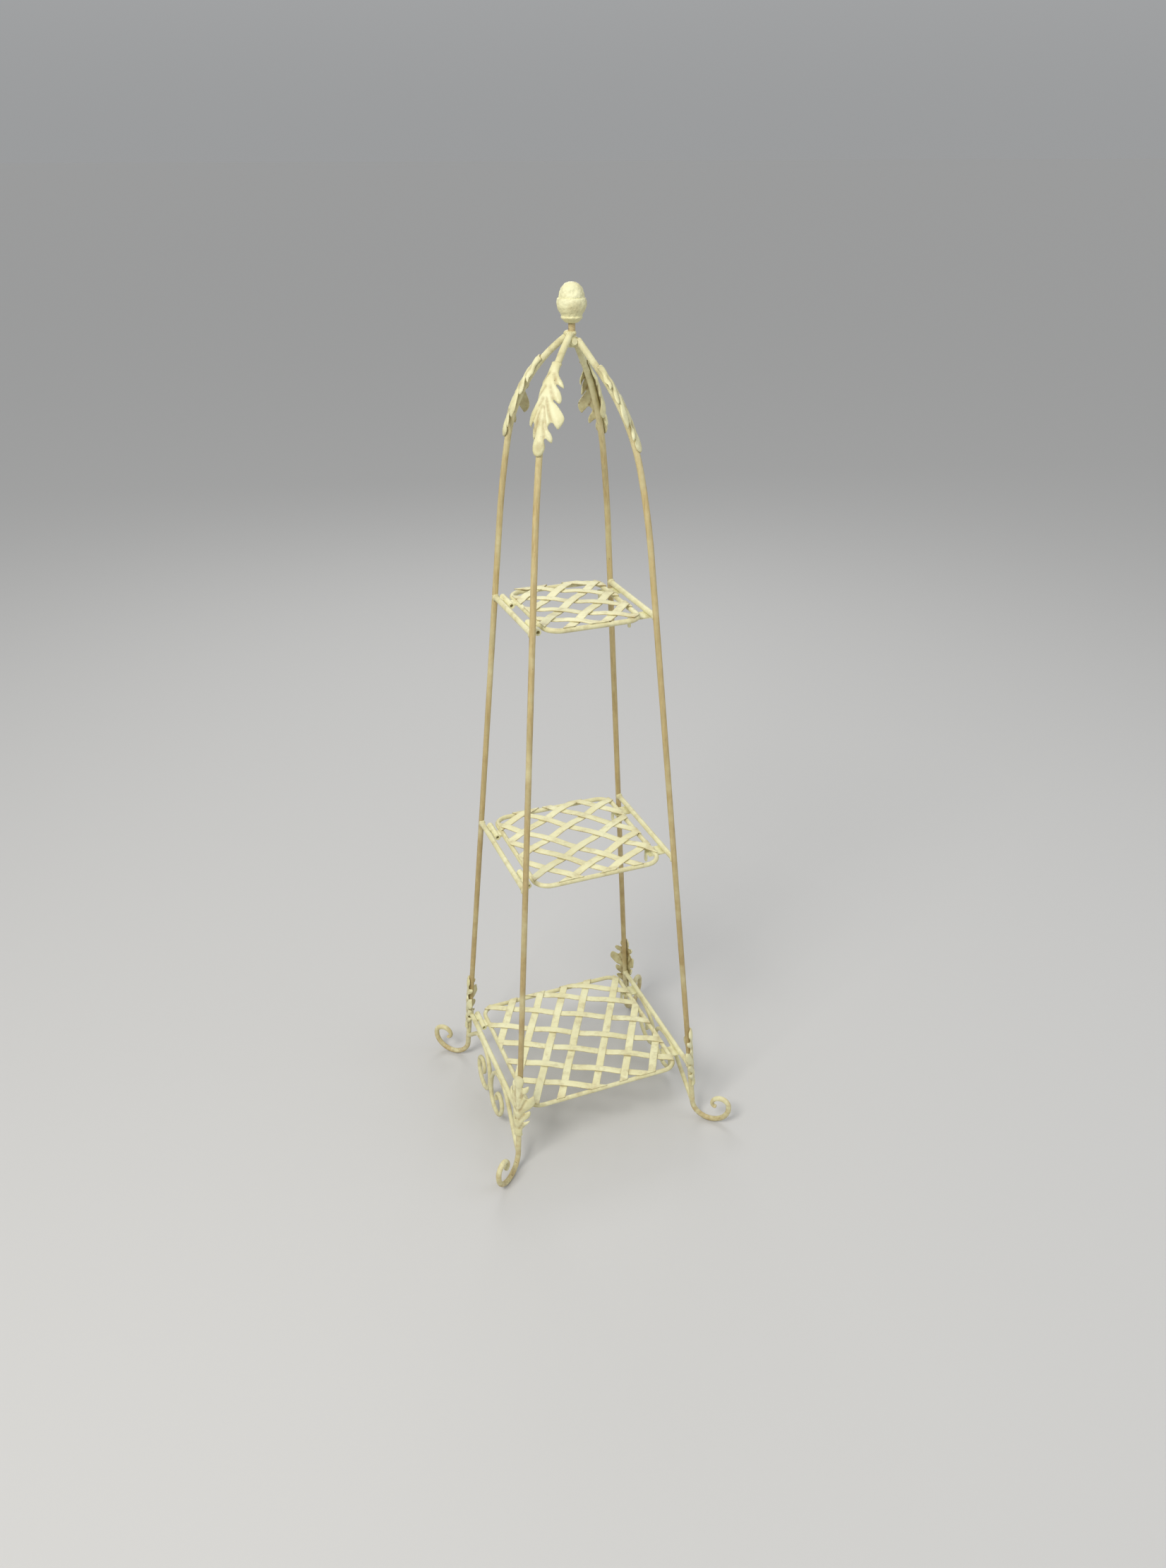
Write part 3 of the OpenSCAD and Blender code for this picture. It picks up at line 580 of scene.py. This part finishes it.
# ---------------------------------------------------------------- woven straps
WRAP_R = RIM_R + STRAP_T / 2 + 0.1 * MM
WRAP_ANGLE = 20
WRAP_REACH = WRAP_R * math.radians(WRAP_ANGLE)
WEAVE_MIDDLE = 4.6 * MM
WEAVE_RISE = 0.85 * MM
# Extra darkening round a strap's cross-section, soiling with painted shade on the edges and the underside:
# top face, one edge, underside, other edge.
STRAP_EDGE_GRIME_AND_SHADE = [0.0] * 5 + [0.35, 0.75, 0.6] + [0.3] * 5 + [0.6, 0.75, 0.35]


def strap_section():
    """Points round a strap's cross-section as (across, up) from its middle line."""
    half, thick, round_r = STRAP_W / 2, STRAP_T / 2, 0.55 * MM
    points = [(half - round_r) * f for f in (-1, -0.5, 0, 0.5, 1)]
    loop = [(w, thick) for w in points]
    edge_w, edge_t = half - round_r * 0.3, thick - round_r * 0.3
    loop += [(edge_w, edge_t), (half, 0), (edge_w, -edge_t)]
    loop += [(w, -thick) for w in reversed(points)]
    loop += [(-edge_w, -edge_t), (-half, 0), (-edge_w, edge_t)]
    return loop


def rim_distance(level, x, y):
    """Signed distance from the rim's centre line, and the direction away from it."""
    hx, hy = RIM_HALF[level]
    qx, qy = abs(x) - (hx - CORNER_R), abs(y) - (hy - CORNER_R)
    if qx > 0 and qy > 0:
        length = math.hypot(qx, qy)
        out = (math.copysign(qx / length, x), math.copysign(qy / length, y))
        return length - CORNER_R, out
    if qx > qy:
        return qx - CORNER_R, (math.copysign(1, x), 0)
    return qy - CORNER_R, (0, math.copysign(1, y))


def make_strap(shell, level, angle, offset, cross_angle, cross_offsets, starts_over, seed):
    """A strap that weaves over and under the cross straps and ends on the top of the rim."""
    a = math.radians(angle)
    along, sideways = Vector((math.cos(a), math.sin(a), 0)), Vector((-math.sin(a), math.cos(a), 0))
    foot = sideways * offset
    rim_z = RIM_Z[level]
    ends = []
    for way in (-1, 1):
        near, far = 0.0, 0.4
        for _ in range(40):
            mid = (near + far) / 2
            p = foot + along * (way * mid)
            if rim_distance(level, p.x, p.y)[0] < 0:
                near = mid
            else:
                far = mid
        spot = foot + along * (way * near)
        out = Vector((*rim_distance(level, spot.x, spot.y)[1], 0))
        slant = abs(out.dot(along))
        skew = STRAP_W / 2 * math.sqrt(max(0.0, 1 - slant ** 2))
        ends.append((way * near, spot, out, (WRAP_REACH + skew) / max(0.35, slant)))
    turn = math.radians(angle - cross_angle)
    marks = []
    for k, other in enumerate(cross_offsets):
        s = (other - offset * math.cos(turn)) / math.sin(turn)
        over = (k % 2 == 0) == starts_over
        if ends[0][0] + 3 * MM < s < ends[1][0] - 3 * MM:
            marks.append((s, WEAVE_MIDDLE + (WEAVE_RISE if over else -WEAVE_RISE)))
    marks.sort()
    marks = [(ends[0][0], WRAP_R)] + marks + [(ends[1][0], WRAP_R)]

    def lift(s):
        if s <= marks[0][0] or s >= marks[-1][0]:
            return WRAP_R
        for (s0, z0), (s1, z1) in zip(marks, marks[1:]):
            if s <= s1:
                t = (s - s0) / (s1 - s0)
                t = min(1.0, max(0.0, (t - 0.18) / 0.64))
                return z0 + (z1 - z0) * (0.5 - 0.5 * math.cos(math.pi * t))
        return WRAP_R

    start, stop = ends[0][0] - ends[0][3], ends[1][0] + ends[1][3]
    count = round((stop - start) / (1.6 * MM))
    section = strap_section()
    rings, grime_and_shade = [], []
    for k in range(count + 1):
        s = start + (stop - start) * k / count
        wobble = 0.45 * MM * ripple((s, offset, 0), 22, seed)
        widen = 1 + 0.05 * ripple((s, offset, 0), 45, seed + 5)
        ring = []
        for w, up in section:
            flat = foot + along * s + sideways * (w * widen + wobble)
            up = up + 0.12 * MM * ripple((flat.x, flat.y, 0), 120, seed + 9)
            _, spot, out, _ = ends[0] if s < (start + stop) / 2 else ends[1]
            beyond = (flat - spot).dot(out)
            if beyond > WRAP_REACH:
                flat -= along * ((beyond - WRAP_REACH) / along.dot(out))
                beyond = WRAP_REACH
            if beyond > 0:
                turned = beyond / WRAP_R
                at_rod = flat - out * beyond
                r = WRAP_R + up
                ring.append(at_rod + out * (r * math.sin(turned)) + UP * (rim_z + r * math.cos(turned)))
            else:
                ring.append(flat + UP * (rim_z + lift(s) + up))
        rings.append(ring)
        # Darker where the strap passes under a cross strap and where it wraps onto the rim: painted shade
        # with soiling.
        edge = min(abs(s - ends[0][0]), abs(s - ends[1][0]))
        dirt_and_shade = max([math.exp(-(((s - m) / (6.5 * MM)) ** 4)) * 0.5 for m, z in marks[1:-1]
                    if z < WEAVE_MIDDLE] or [0.0])
        grime_and_shade.append(max(dirt_and_shade, 0.55 * math.exp(-edge / (5 * MM))) + 0.08)
    shell.add_rings(rings, grime_and_shade, edge_grime_and_shade=STRAP_EDGE_GRIME_AND_SHADE)


def make_straps(level):
    """Both woven sets of a shelf, one piece each."""
    for which, word in enumerate(("first", "second")):
        angle = STRAP_ANGLES[level][which]
        cross = STRAP_ANGLES[level][1 - which]
        others = [o * MM for o in STRAP_OFFSETS[level][1 - which]]
        shell = Shell()
        for i, offset in enumerate(STRAP_OFFSETS[level][which]):
            starts_over = (i % 2 == 0) if which == 0 else (i % 2 == 1)
            make_strap(shell, level, angle, offset * MM, cross, others, starts_over, i * 1.7 + which * 20)
        name = f"{level}_straps_{word}"
        shell.piece(name + "_woven", PAINT, level + "_shelf", [name], "cream_paint")


for level_name in LEVELS:
    make_straps(level_name)


# ---------------------------------------------------------------- leaves
LEAF_L = 102 * MM
LOWER_LEAF_H = 61 * MM
UPPER_LEAF_GAP = 39.5 * MM
LEAF_UNIT = LEAF_L / 108
LEAF_THICK = 1.2
LEAF_GRID = 1.3
LEAF_EDGE_STEP = 0.9
# One side of the casting's outline, as (distance from the cuff, half width) in LEAF_UNITs. The
# lobes sweep towards the tip and the last stretch is the bead that lies on the leg.
LEAF_EDGE = (
    (0, 6.0), (1.2, 6.5), (6, 6.1), (12, 6.3), (16, 8.6), (20, 12.0), (24, 15.0), (29.4, 17.6),
    (29.2, 14.0), (27.4, 9.6), (28.6, 8.6), (32, 11.6), (36, 15.0), (41, 17.6), (45, 18.4), (48, 17.0),
    (46.8, 13.6), (44.6, 10.6), (46.4, 10.2), (50, 15.0), (55, 20.2), (61, 23.8), (67, 24.6), (75.6, 22.4),
    (73.6, 17.8), (70.0, 13.6), (70.6, 11.0), (75, 8.8), (78.5, 10.6), (82, 14.0), (87, 16.4), (91.4, 15.6),
    (90, 11.8), (87.6, 8.0), (88.2, 6.0), (91, 6.4), (95, 7.3), (99, 7.2), (103, 5.8), (106.4, 3.2))
# Ridges along the lobes and grooves between them, as start, end, height and width.
LEAF_RIDGES = (
    ((6, 1), (27, 13.5), 0.7, 3.0), ((22, 2), (45, 15.5), 0.7, 3.0), ((42, 4), (71, 20), 0.9, 3.8),
    ((52, 1), (72, 9.5), 0.7, 2.0), ((72, 3), (88, 14), 0.8, 2.6), ((60, 0), (86, 0), 0.7, 2.4),
    ((26.5, 8.4), (15, 2.5), -0.9, 1.5), ((44, 9.6), (31, 2.5), -0.9, 1.6),
    ((70, 12.6), (45, 2), -1.5, 1.5), ((78, 7.5), (54, 1.5), -1.0, 1.2), ((88, 6.2), (70, 3.5), -1.2, 1.4))
LEAF_CUFF_CURVES = ((0, 1 / 4.6), (10, 1 / 5.0))
LEAF_LOBE_SPANS = ((25, 36), (60, 74), (82, 91))
LEAF_BEAD_CURVES = ((97, 1 / 10), (108, 1 / 6))
# The bead's middle, half length, half width and height, and the rise of the face off its edge.
BEAD_AT, BEAD_HALF_L, BEAD_HALF_W, BEAD_H = 97.2, 10.6, 7.3, 1.7
FACE_SWELL, CUFF_LIP = 0.9, 0.6
# How each casting is bent: its turn about the leg in degrees, then for each half the radii it is
# folded to across its first lobes, its widest ones and its last ones.
LEAF_BENDS = {
    ("upper", "front"): (0, (10, 20, 9), (40, 60, 40)),
    ("upper", "left"): (14, (22, 13, 12), (24, 44, 34)),
    ("upper", "right"): (14, (50, 80, 60), (30, 40, 30)),
    ("upper", "back"): (0, (11, 12, 11), (9, 32, 20)),
    ("lower", "front"): (0, (9, 18, 12), (26, 40, 30)),
    ("lower", "left"): (12, (14, 30, 20), (11, 24, 13)),
    ("lower", "right"): (20, (20, 26, 20), (14, 30, 20)),
    ("lower", "back"): (0, (12, 20, 16), (13, 40, 20)),
}


def smooth_line(marks, count_between):
    """Points along a Catmull-Rom curve through flat marks. count_between says how many points start
    each stretch between two marks."""
    padded = [marks[0], *marks, marks[-1]]
    line = []
    for k in range(1, len(padded) - 2):
        p0, p1, p2, p3 = padded[k - 1:k + 3]
        count = count_between(p1, p2)
        for j in range(count):
            t = j / count
            line.append(tuple(0.5 * (2 * b + (c - a) * t + (2 * a - 5 * b + 4 * c - d) * t * t
                                     + (3 * b - a - 3 * c + d) * t ** 3)
                              for a, b, c, d in zip(p0, p1, p2, p3)))
    line.append(tuple(marks[-1]))
    return line


def inside(point, outline):
    x, y = point
    hit = False
    for (x0, y0), (x1, y1) in zip(outline, outline[1:] + outline[:1]):
        if (y0 > y) != (y1 > y) and x < x0 + (x1 - x0) * (y - y0) / (y1 - y0):
            hit = not hit
    return hit


def leaf_sheet():
    """The casting laid flat: outline points first, then inner points, with its triangles and each
    point's distance from the outline."""
    right = smooth_line(LEAF_EDGE, lambda a, b: max(2, round(math.dist(a, b) / LEAF_EDGE_STEP)))
    outline = right + [(108.0, 0.0)] + [(s, -y) for s, y in reversed(right)]
    outline += [(0.0, float(y)) for y in range(-5, 6)]
    points = [Vector(p) for p in outline]
    rows = round(108 / LEAF_GRID)
    for i in range(1, rows):
        for j in range(-18, 19):
            spot = (i * LEAF_GRID, (j + 0.5 * (i % 2)) * LEAF_GRID)
            if inside(spot, outline) and min(math.dist(spot, p) for p in outline) > 0.6:
                points.append(Vector(spot))
    count = len(outline)
    edges = [(k, (k + 1) % count) for k in range(count)]
    found, _, faces, _, _, _ = geometry.delaunay_2d_cdt(points, edges, [], 1, 1e-6)
    depth = [min(math.dist(p, q) for q in outline) for p in found]
    return found, faces, depth, count


LEAF_POINTS, LEAF_FACES, LEAF_DEPTH, LEAF_RIM = leaf_sheet()


def off_line(point, start, end):
    """Distance of a flat point from a line between two points."""
    a, b = Vector(start), Vector(end)
    t = max(0.0, min(1.0, (point - a).dot(b - a) / (b - a).length_squared))
    return (point - a.lerp(b, t)).length


def leaf_relief(point, depth):
    """Height of the casting's face above a plain sheet, and how deep in a groove the point is."""
    s, y = point.x, abs(point.y)
    side = Vector((s, y))
    height = FACE_SWELL * (1 - math.exp(-depth / 2.2))
    groove = 0.0
    for start, end, rise, width in LEAF_RIDGES:
        share = math.exp(-((off_line(side, start, end) / width) ** 2)) * min(1.0, depth / 1.2)
        height += rise * share
        if rise < 0:
            groove = max(groove, share)
    bead = 1 - ((s - BEAD_AT) / BEAD_HALF_L) ** 2 - (y / BEAD_HALF_W) ** 2
    height += BEAD_H * math.sqrt(bead) if bead > 0 else 0.0
    height += CUFF_LIP * math.exp(-(((s - 1.2) / 0.8) ** 2))
    return height, groove


def leaf_curve(s, folds):
    """Curvature across the casting at a distance from its cuff."""
    lobes = [(at, 1 / fold) for span, fold in zip(LEAF_LOBE_SPANS, folds) for at in span]
    marks = (*LEAF_CUFF_CURVES, *lobes, *LEAF_BEAD_CURVES)
    for (s0, c0), (s1, c1) in zip(marks, marks[1:]):
        if s <= s1:
            t = (s - s0) / (s1 - s0)
            return c0 + (c1 - c0) * t * t * (3 - 2 * t)
    return marks[-1][1]


def make_leaf(leg, kind, seed):
    """A leaf casting bent round its leg, running up from the cuff if lower and down if upper."""
    side = LEGS[leg][0]
    outward, sideways = leg_plane(leg)
    points, headings, base = leg_path(side)
    points, headings = points[base:], headings[base:]
    lengths = [0.0]
    for a, b in zip(points, points[1:]):
        lengths.append(lengths[-1] + math.dist(a, b))
    if kind == "lower":
        way = 1
        start = (LOWER_LEAF_H - points[0][1]) / math.cos(math.radians(LEG_LEAN))
    else:
        way = -1
        cut_off = (TOP_STOP[side] - LEG_END_REACH) / math.sin(math.radians(top_lean(side)))
        start = lengths[-1] + cut_off - UPPER_LEAF_GAP

    def on_leg(length):
        k = min(bisect.bisect_right(lengths, length), len(lengths) - 1) - 1
        t = (length - lengths[k]) / (lengths[k + 1] - lengths[k])
        r = points[k][0] + (points[k + 1][0] - points[k][0]) * t
        z = points[k][1] + (points[k + 1][1] - points[k][1]) * t
        h = math.radians(headings[k] + (headings[k + 1] - headings[k]) * t)
        return outward * r + UP * z, outward * math.sin(h) - UP * math.cos(h)

    turn, low_folds, high_folds = LEAF_BENDS[kind, leg]
    turn = math.radians(turn)
    verts, grime_and_shade = [], []
    for layer in (0, 1):
        for point, depth in zip(LEAF_POINTS, LEAF_DEPTH):
            s, y = point
            wobble = ripple((s * 0.06, y * 0.06, 0), 1.0, seed)
            curve = leaf_curve(s, low_folds if y < 0 else high_folds)
            height, groove = leaf_relief(point, depth)
            lift = 0.25 + wobble * min(1.0, abs(y) / 8)
            if layer:
                lift += LEAF_THICK * (0.6 if depth < 0.01 else 1.0) + height
            turned = y * curve * (1 + 0.12 * wobble)
            across = math.sin(turned) / curve + lift * math.sin(turned)
            out = LEG_R / LEAF_UNIT - (1 - math.cos(turned)) / curve + lift * math.cos(turned)
            spot, away = on_leg(start + way * s * LEAF_UNIT)
            face = away * math.cos(turn) + sideways * math.sin(turn)
            edge = sideways * math.cos(turn) - away * math.sin(turn)
            verts.append(spot + (face * out + edge * across) * LEAF_UNIT)
            # Darker in the grooves, at the cuff and where the bead meets the leg, painted shade with
            # soiling; the underside layer gets extra painted shade.
            dirt_and_shade = max(0.75 * groove, 0.9 * math.exp(-s / 1.2), 0.8 * math.exp(-(108 - s) / 2.0))
            grime_and_shade.append(0.1 + dirt_and_shade + (0.0 if layer else 0.45))
    count = len(LEAF_POINTS)
    faces = []
    for a, b, c in LEAF_FACES:
        faces.append((a, b, c))
        faces.append((c + count, b + count, a + count))
    for a in range(LEAF_RIM):
        b = (a + 1) % LEAF_RIM
        faces.append((b, a, a + count, b + count))
    name = f"{kind}_leaf_{leg}"
    make_piece(name + "_cast", verts, faces, PAINT, BODY_OF_SIDE[side], [name], grime_and_shade)


for number, leg_name in enumerate(LEGS):
    make_leaf(leg_name, "lower", 31.0 + number)
    make_leaf(leg_name, "upper", 41.0 + number)


# ---------------------------------------------------------------- finial
def lathe(shell, profile, bumps, seed, sides=96):
    """Turns (radius, height) points about Z and roughens them by bumps metres."""
    rings = []
    for r, z in profile:
        ring = []
        for j in range(sides):
            a = 2 * math.pi * j / sides
            p = Vector((r * math.cos(a), r * math.sin(a), z))
            swell = bumps * (0.8 * ripple(p, 170, seed) + 0.7 * ripple(p, 380, seed + 3))
            out = Vector((math.cos(a), math.sin(a), 0.25))
            ring.append(p + out * swell * min(1.0, r / (4 * MM)))
        rings.append(ring)
    shell.add_rings(rings)


def profile_through(marks):
    """A smooth (radius, height) profile through marks, kept off the axis."""
    return [(max(r, 0.15 * MM), z) for r, z in smooth_line(marks, lambda a, b: 6)]


def below_top(*marks):
    """Marks given as (radius, millimetres below the tip)."""
    return [(r * MM, TOTAL_H - d * MM) for r, d in marks]


def make_finial():
    """The acorn: its cup with a ring at the foot, and the nut that stands in it."""
    cup = below_top((0.5, 41.5), (5.6, 41.5), (7.6, 40.6), (9.4, 39.0), (11.2, 37.4), (12.1, 36.4),
                    (12.2, 35.4), (11.5, 34.4), (12.3, 32.4), (14.1, 29.6), (15.7, 26), (16.3, 22.8),
                    (16.2, 19.8), (15.6, 17.2), (14.2, 16.2), (9, 15.8), (0.5, 15.6))
    shell = Shell()
    lathe(shell, profile_through(cup), 0.55 * MM, 51.0)
    shell.piece("acorn_cup_cast", CAST_PAINT, "left_frame", ["acorn_cup"], "cream_paint")
    nut = below_top((0.5, 17.5), (9, 17.4), (13.4, 16.8), (14.0, 15.4), (13.7, 12.6), (12.7, 9.2),
                    (10.8, 5.6), (8.0, 2.7), (4.6, 1.0), (1.6, 0.45), (0.4, 0.4))
    shell = Shell()
    lathe(shell, profile_through(nut), 0.75 * MM, 57.0)
    shell.piece("acorn_nut_cast", CAST_PAINT, "left_frame", ["acorn_nut"], "cream_paint")


make_finial()


# ---------------------------------------------------------------- threaded stem and welds
STEM_R = 3.9 * MM
STEM_LOW, STEM_HIGH = APEX_H - 6 * MM, TOTAL_H - 38 * MM
THREAD_PITCH = 1.8 * MM
THREAD_DEPTH = 0.3 * MM


def make_stem():
    """The stem under the acorn, with a worn thread that is half filled with paint."""
    sides = 48
    rows = round((STEM_HIGH - STEM_LOW) / (0.25 * MM))
    rings = []
    for i in range(rows + 1):
        z = STEM_LOW + (STEM_HIGH - STEM_LOW) * i / rows
        ring = []
        for j in range(sides):
            a = 2 * math.pi * j / sides
            worn = 0.6 + 0.5 * ripple((math.cos(a), math.sin(a), z * 200), 1.0, 61.0)
            r = STEM_R - THREAD_DEPTH * worn * (0.5 - 0.5 * math.cos(2 * math.pi * z / THREAD_PITCH - a))
            ring.append(Vector((r * math.cos(a), r * math.sin(a), z)))
        rings.append(ring)
    shell = Shell()
    shell.add_rings(rings)
    shell.piece("finial_stem_thread", STEEL, "left_frame", ["finial_stem"], "rusty_steel")


def add_weld(shell, spot, size, seed):
    """An uneven lump of weld metal, with its half sizes along X, Y and Z in millimetres."""
    rings = []
    for i in range(1, 9):
        polar = math.pi * i / 9
        ring = []
        for j in range(14):
            a = 2 * math.pi * j / 14
            ray = Vector((math.sin(polar) * math.cos(a), math.sin(polar) * math.sin(a), math.cos(polar)))
            swell = 1 + 0.2 * ripple(ray, 1.9, seed)
            ring.append(spot + Vector([v * half * MM * swell for v, half in zip(ray, size)]))
        rings.append(ring)
    shell.add_rings(rings, [0.35] * len(rings))


def make_welds(side):
    """Welds of a side frame: crossbars to legs, aprons to the crossbar and to each other, and the apex."""
    shell = Shell()
    seed = 70.0 + side
    for level in LEVELS:
        z = BAR[level].z
        reach = leg_reach(z)
        x = side * reach * math.cos(math.radians(LEG_AZIMUTH))
        y = reach * math.sin(math.radians(LEG_AZIMUTH)) - 3 * MM
        for end in (FRONT, BACK):
            seed += 1
            add_weld(shell, Vector((x, end * y, z)), (4.7, 4.4, 4.7), seed)
    z = BAR["bottom"].z
    x = side * leg_reach(z) * math.cos(math.radians(LEG_AZIMUTH))
    for end in (FRONT, BACK):
        seed += 1
        arch = Vector((x + side * 0.3 * MM, end * APRON_ARCH + APRON_SHIFT, z - BAR_R))
        add_weld(shell, arch, (2.8, 6.5, 1.9), seed)
    meeting = Vector((x + side * 4.6 * MM, APRON_SHIFT, z - 49 * MM))
    add_weld(shell, meeting, (2.6, 2.6, 7.0), seed + 5)
    if side == LEFT:
        add_weld(shell, Vector((0, 0, APEX_H - 2 * MM)), (5.0, 5.0, 3.4), seed + 6)
        add_weld(shell, Vector((-4 * MM, 3 * MM, APEX_H - 2.6 * MM)), (4.4, 4.4, 3.8), seed + 7)
        add_weld(shell, Vector((-3 * MM, -2.6 * MM, APEX_H - 3.4 * MM)), (4.2, 4.2, 3.6), seed + 8)
    shell.piece(("left" if side == LEFT else "right") + "_frame_welds", PAINT, BODY_OF_SIDE[side],
                slot="cream_paint")


make_stem()
make_welds(LEFT)
make_welds(RIGHT)


# ---------------------------------------------------------------- CAD nodes that keep their shape
FINISH_OF_SLOT = {"cream_paint": PAINT, "aged_paint": LEG_PAINT, "rusty_steel": STEEL}
# Steel pieces whose paint has stayed on.
PAINTED_OVER = ("pivot_pin",)
slot_of_node = {row["node"]: row["material_slot"] for row in frame["record"]["subparts"]}
for node_name, node_object in frame["nodes"].items():
    if node_object.hide_render:
        continue
    finish = PAINT if node_name in PAINTED_OVER else FINISH_OF_SLOT[slot_of_node[node_name]]
    for material_slot in node_object.material_slots:
        material_slot.material = finish

# ---------------------------------------------------------------- studio
CAMERA_SPOT = Vector((-0.47699, -1.24170, 1.25651))
CAMERA_YAW, CAMERA_PITCH, CAMERA_ROLL = (math.radians(a) for a in (21.484, 28.695, 0.151))
CAMERA_LENS = 26.325
SKY_LOW, SKY_HIGH = 0.34, 0.60


def make_camera():
    """The camera at the photo's angle, for the photo's whole frame."""
    ahead = Vector((math.sin(CAMERA_YAW) * math.cos(CAMERA_PITCH),
                    math.cos(CAMERA_YAW) * math.cos(CAMERA_PITCH), -math.sin(CAMERA_PITCH)))
    level_right = Vector((math.cos(CAMERA_YAW), -math.sin(CAMERA_YAW), 0))
    level_down = ahead.cross(level_right)
    right = level_right * math.cos(CAMERA_ROLL) + level_down * math.sin(CAMERA_ROLL)
    down = level_down * math.cos(CAMERA_ROLL) - level_right * math.sin(CAMERA_ROLL)
    data = bpy.data.cameras.new("camera")
    data.sensor_width = 36
    data.lens = CAMERA_LENS
    data.clip_start, data.clip_end = 0.01, 1500
    camera = bpy.data.objects.new("camera", data)
    bpy.context.scene.collection.objects.link(camera)
    turned = Matrix((right, -down, -ahead)).transposed().to_4x4()
    camera.matrix_world = Matrix.Translation(CAMERA_SPOT) @ turned
    bpy.context.scene.camera = camera


def area_light(name, spot, aim, size, watts, colour):
    data = bpy.data.lights.new(name, "AREA")
    data.shape = "RECTANGLE"
    data.size, data.size_y = size
    data.energy = watts
    data.color = colour
    light = bpy.data.objects.new(name, data)
    light.location = spot
    light.rotation_euler = (Vector(aim) - Vector(spot)).to_track_quat("-Z", "Y").to_euler()
    bpy.context.scene.collection.objects.link(light)


def make_world():
    """A soft grey sky whose lowest part has the floor's own tone, so that no horizon shows."""
    world = bpy.data.worlds.new("studio")
    world.use_nodes = True
    tree = world.node_tree
    where = tree.nodes.new("ShaderNodeTexCoord")
    split = tree.nodes.new("ShaderNodeSeparateXYZ")
    ramp = tree.nodes.new("ShaderNodeMapRange")
    ramp.interpolation_type = "SMOOTHSTEP"
    ramp.inputs["From Min"].default_value = 0.0
    ramp.inputs["From Max"].default_value = 0.5
    ramp.inputs["To Min"].default_value = SKY_LOW
    ramp.inputs["To Max"].default_value = SKY_HIGH
    sky = tree.nodes["Background"]
    sky.inputs["Color"].default_value = (0.97, 0.985, 1.0, 1.0)
    tree.links.new(where.outputs["Generated"], split.inputs["Vector"])
    tree.links.new(split.outputs["Z"], ramp.inputs["Value"])
    tree.links.new(ramp.outputs["Result"], sky.inputs["Strength"])
    bpy.context.scene.world = world


def make_studio():
    """A wide pale floor and three soft lights."""
    half = 400.0
    mesh = bpy.data.meshes.new("floor")
    corners = [(-half, -half, 0), (half, -half, 0), (half, half, 0), (-half, half, 0)]
    mesh.from_pydata(corners, [], [(0, 1, 2, 3)])
    mesh.materials.append(plain("floor_grey", (0.55, 0.545, 0.535), 0.85))
    floor = bpy.data.objects.new("floor", mesh)
    floor.location.z = cad_low.z
    bpy.context.scene.collection.objects.link(floor)
    make_world()
    bpy.context.scene.view_settings.view_transform = "Standard"
    area_light("key", (-1.7, -1.3, 2.7), (0, 0, 0.55), (1.1, 1.1), 62, (1.0, 0.975, 0.92))
    area_light("fill", (2.2, -1.4, 1.5), (0, 0, 0.5), (1.8, 1.8), 14, (0.95, 0.97, 1.0))
    area_light("back", (0.6, 2.2, 2.2), (0, 0, 0.6), (1.6, 1.0), 16, (1.0, 1.0, 1.0))


make_camera()
make_studio()
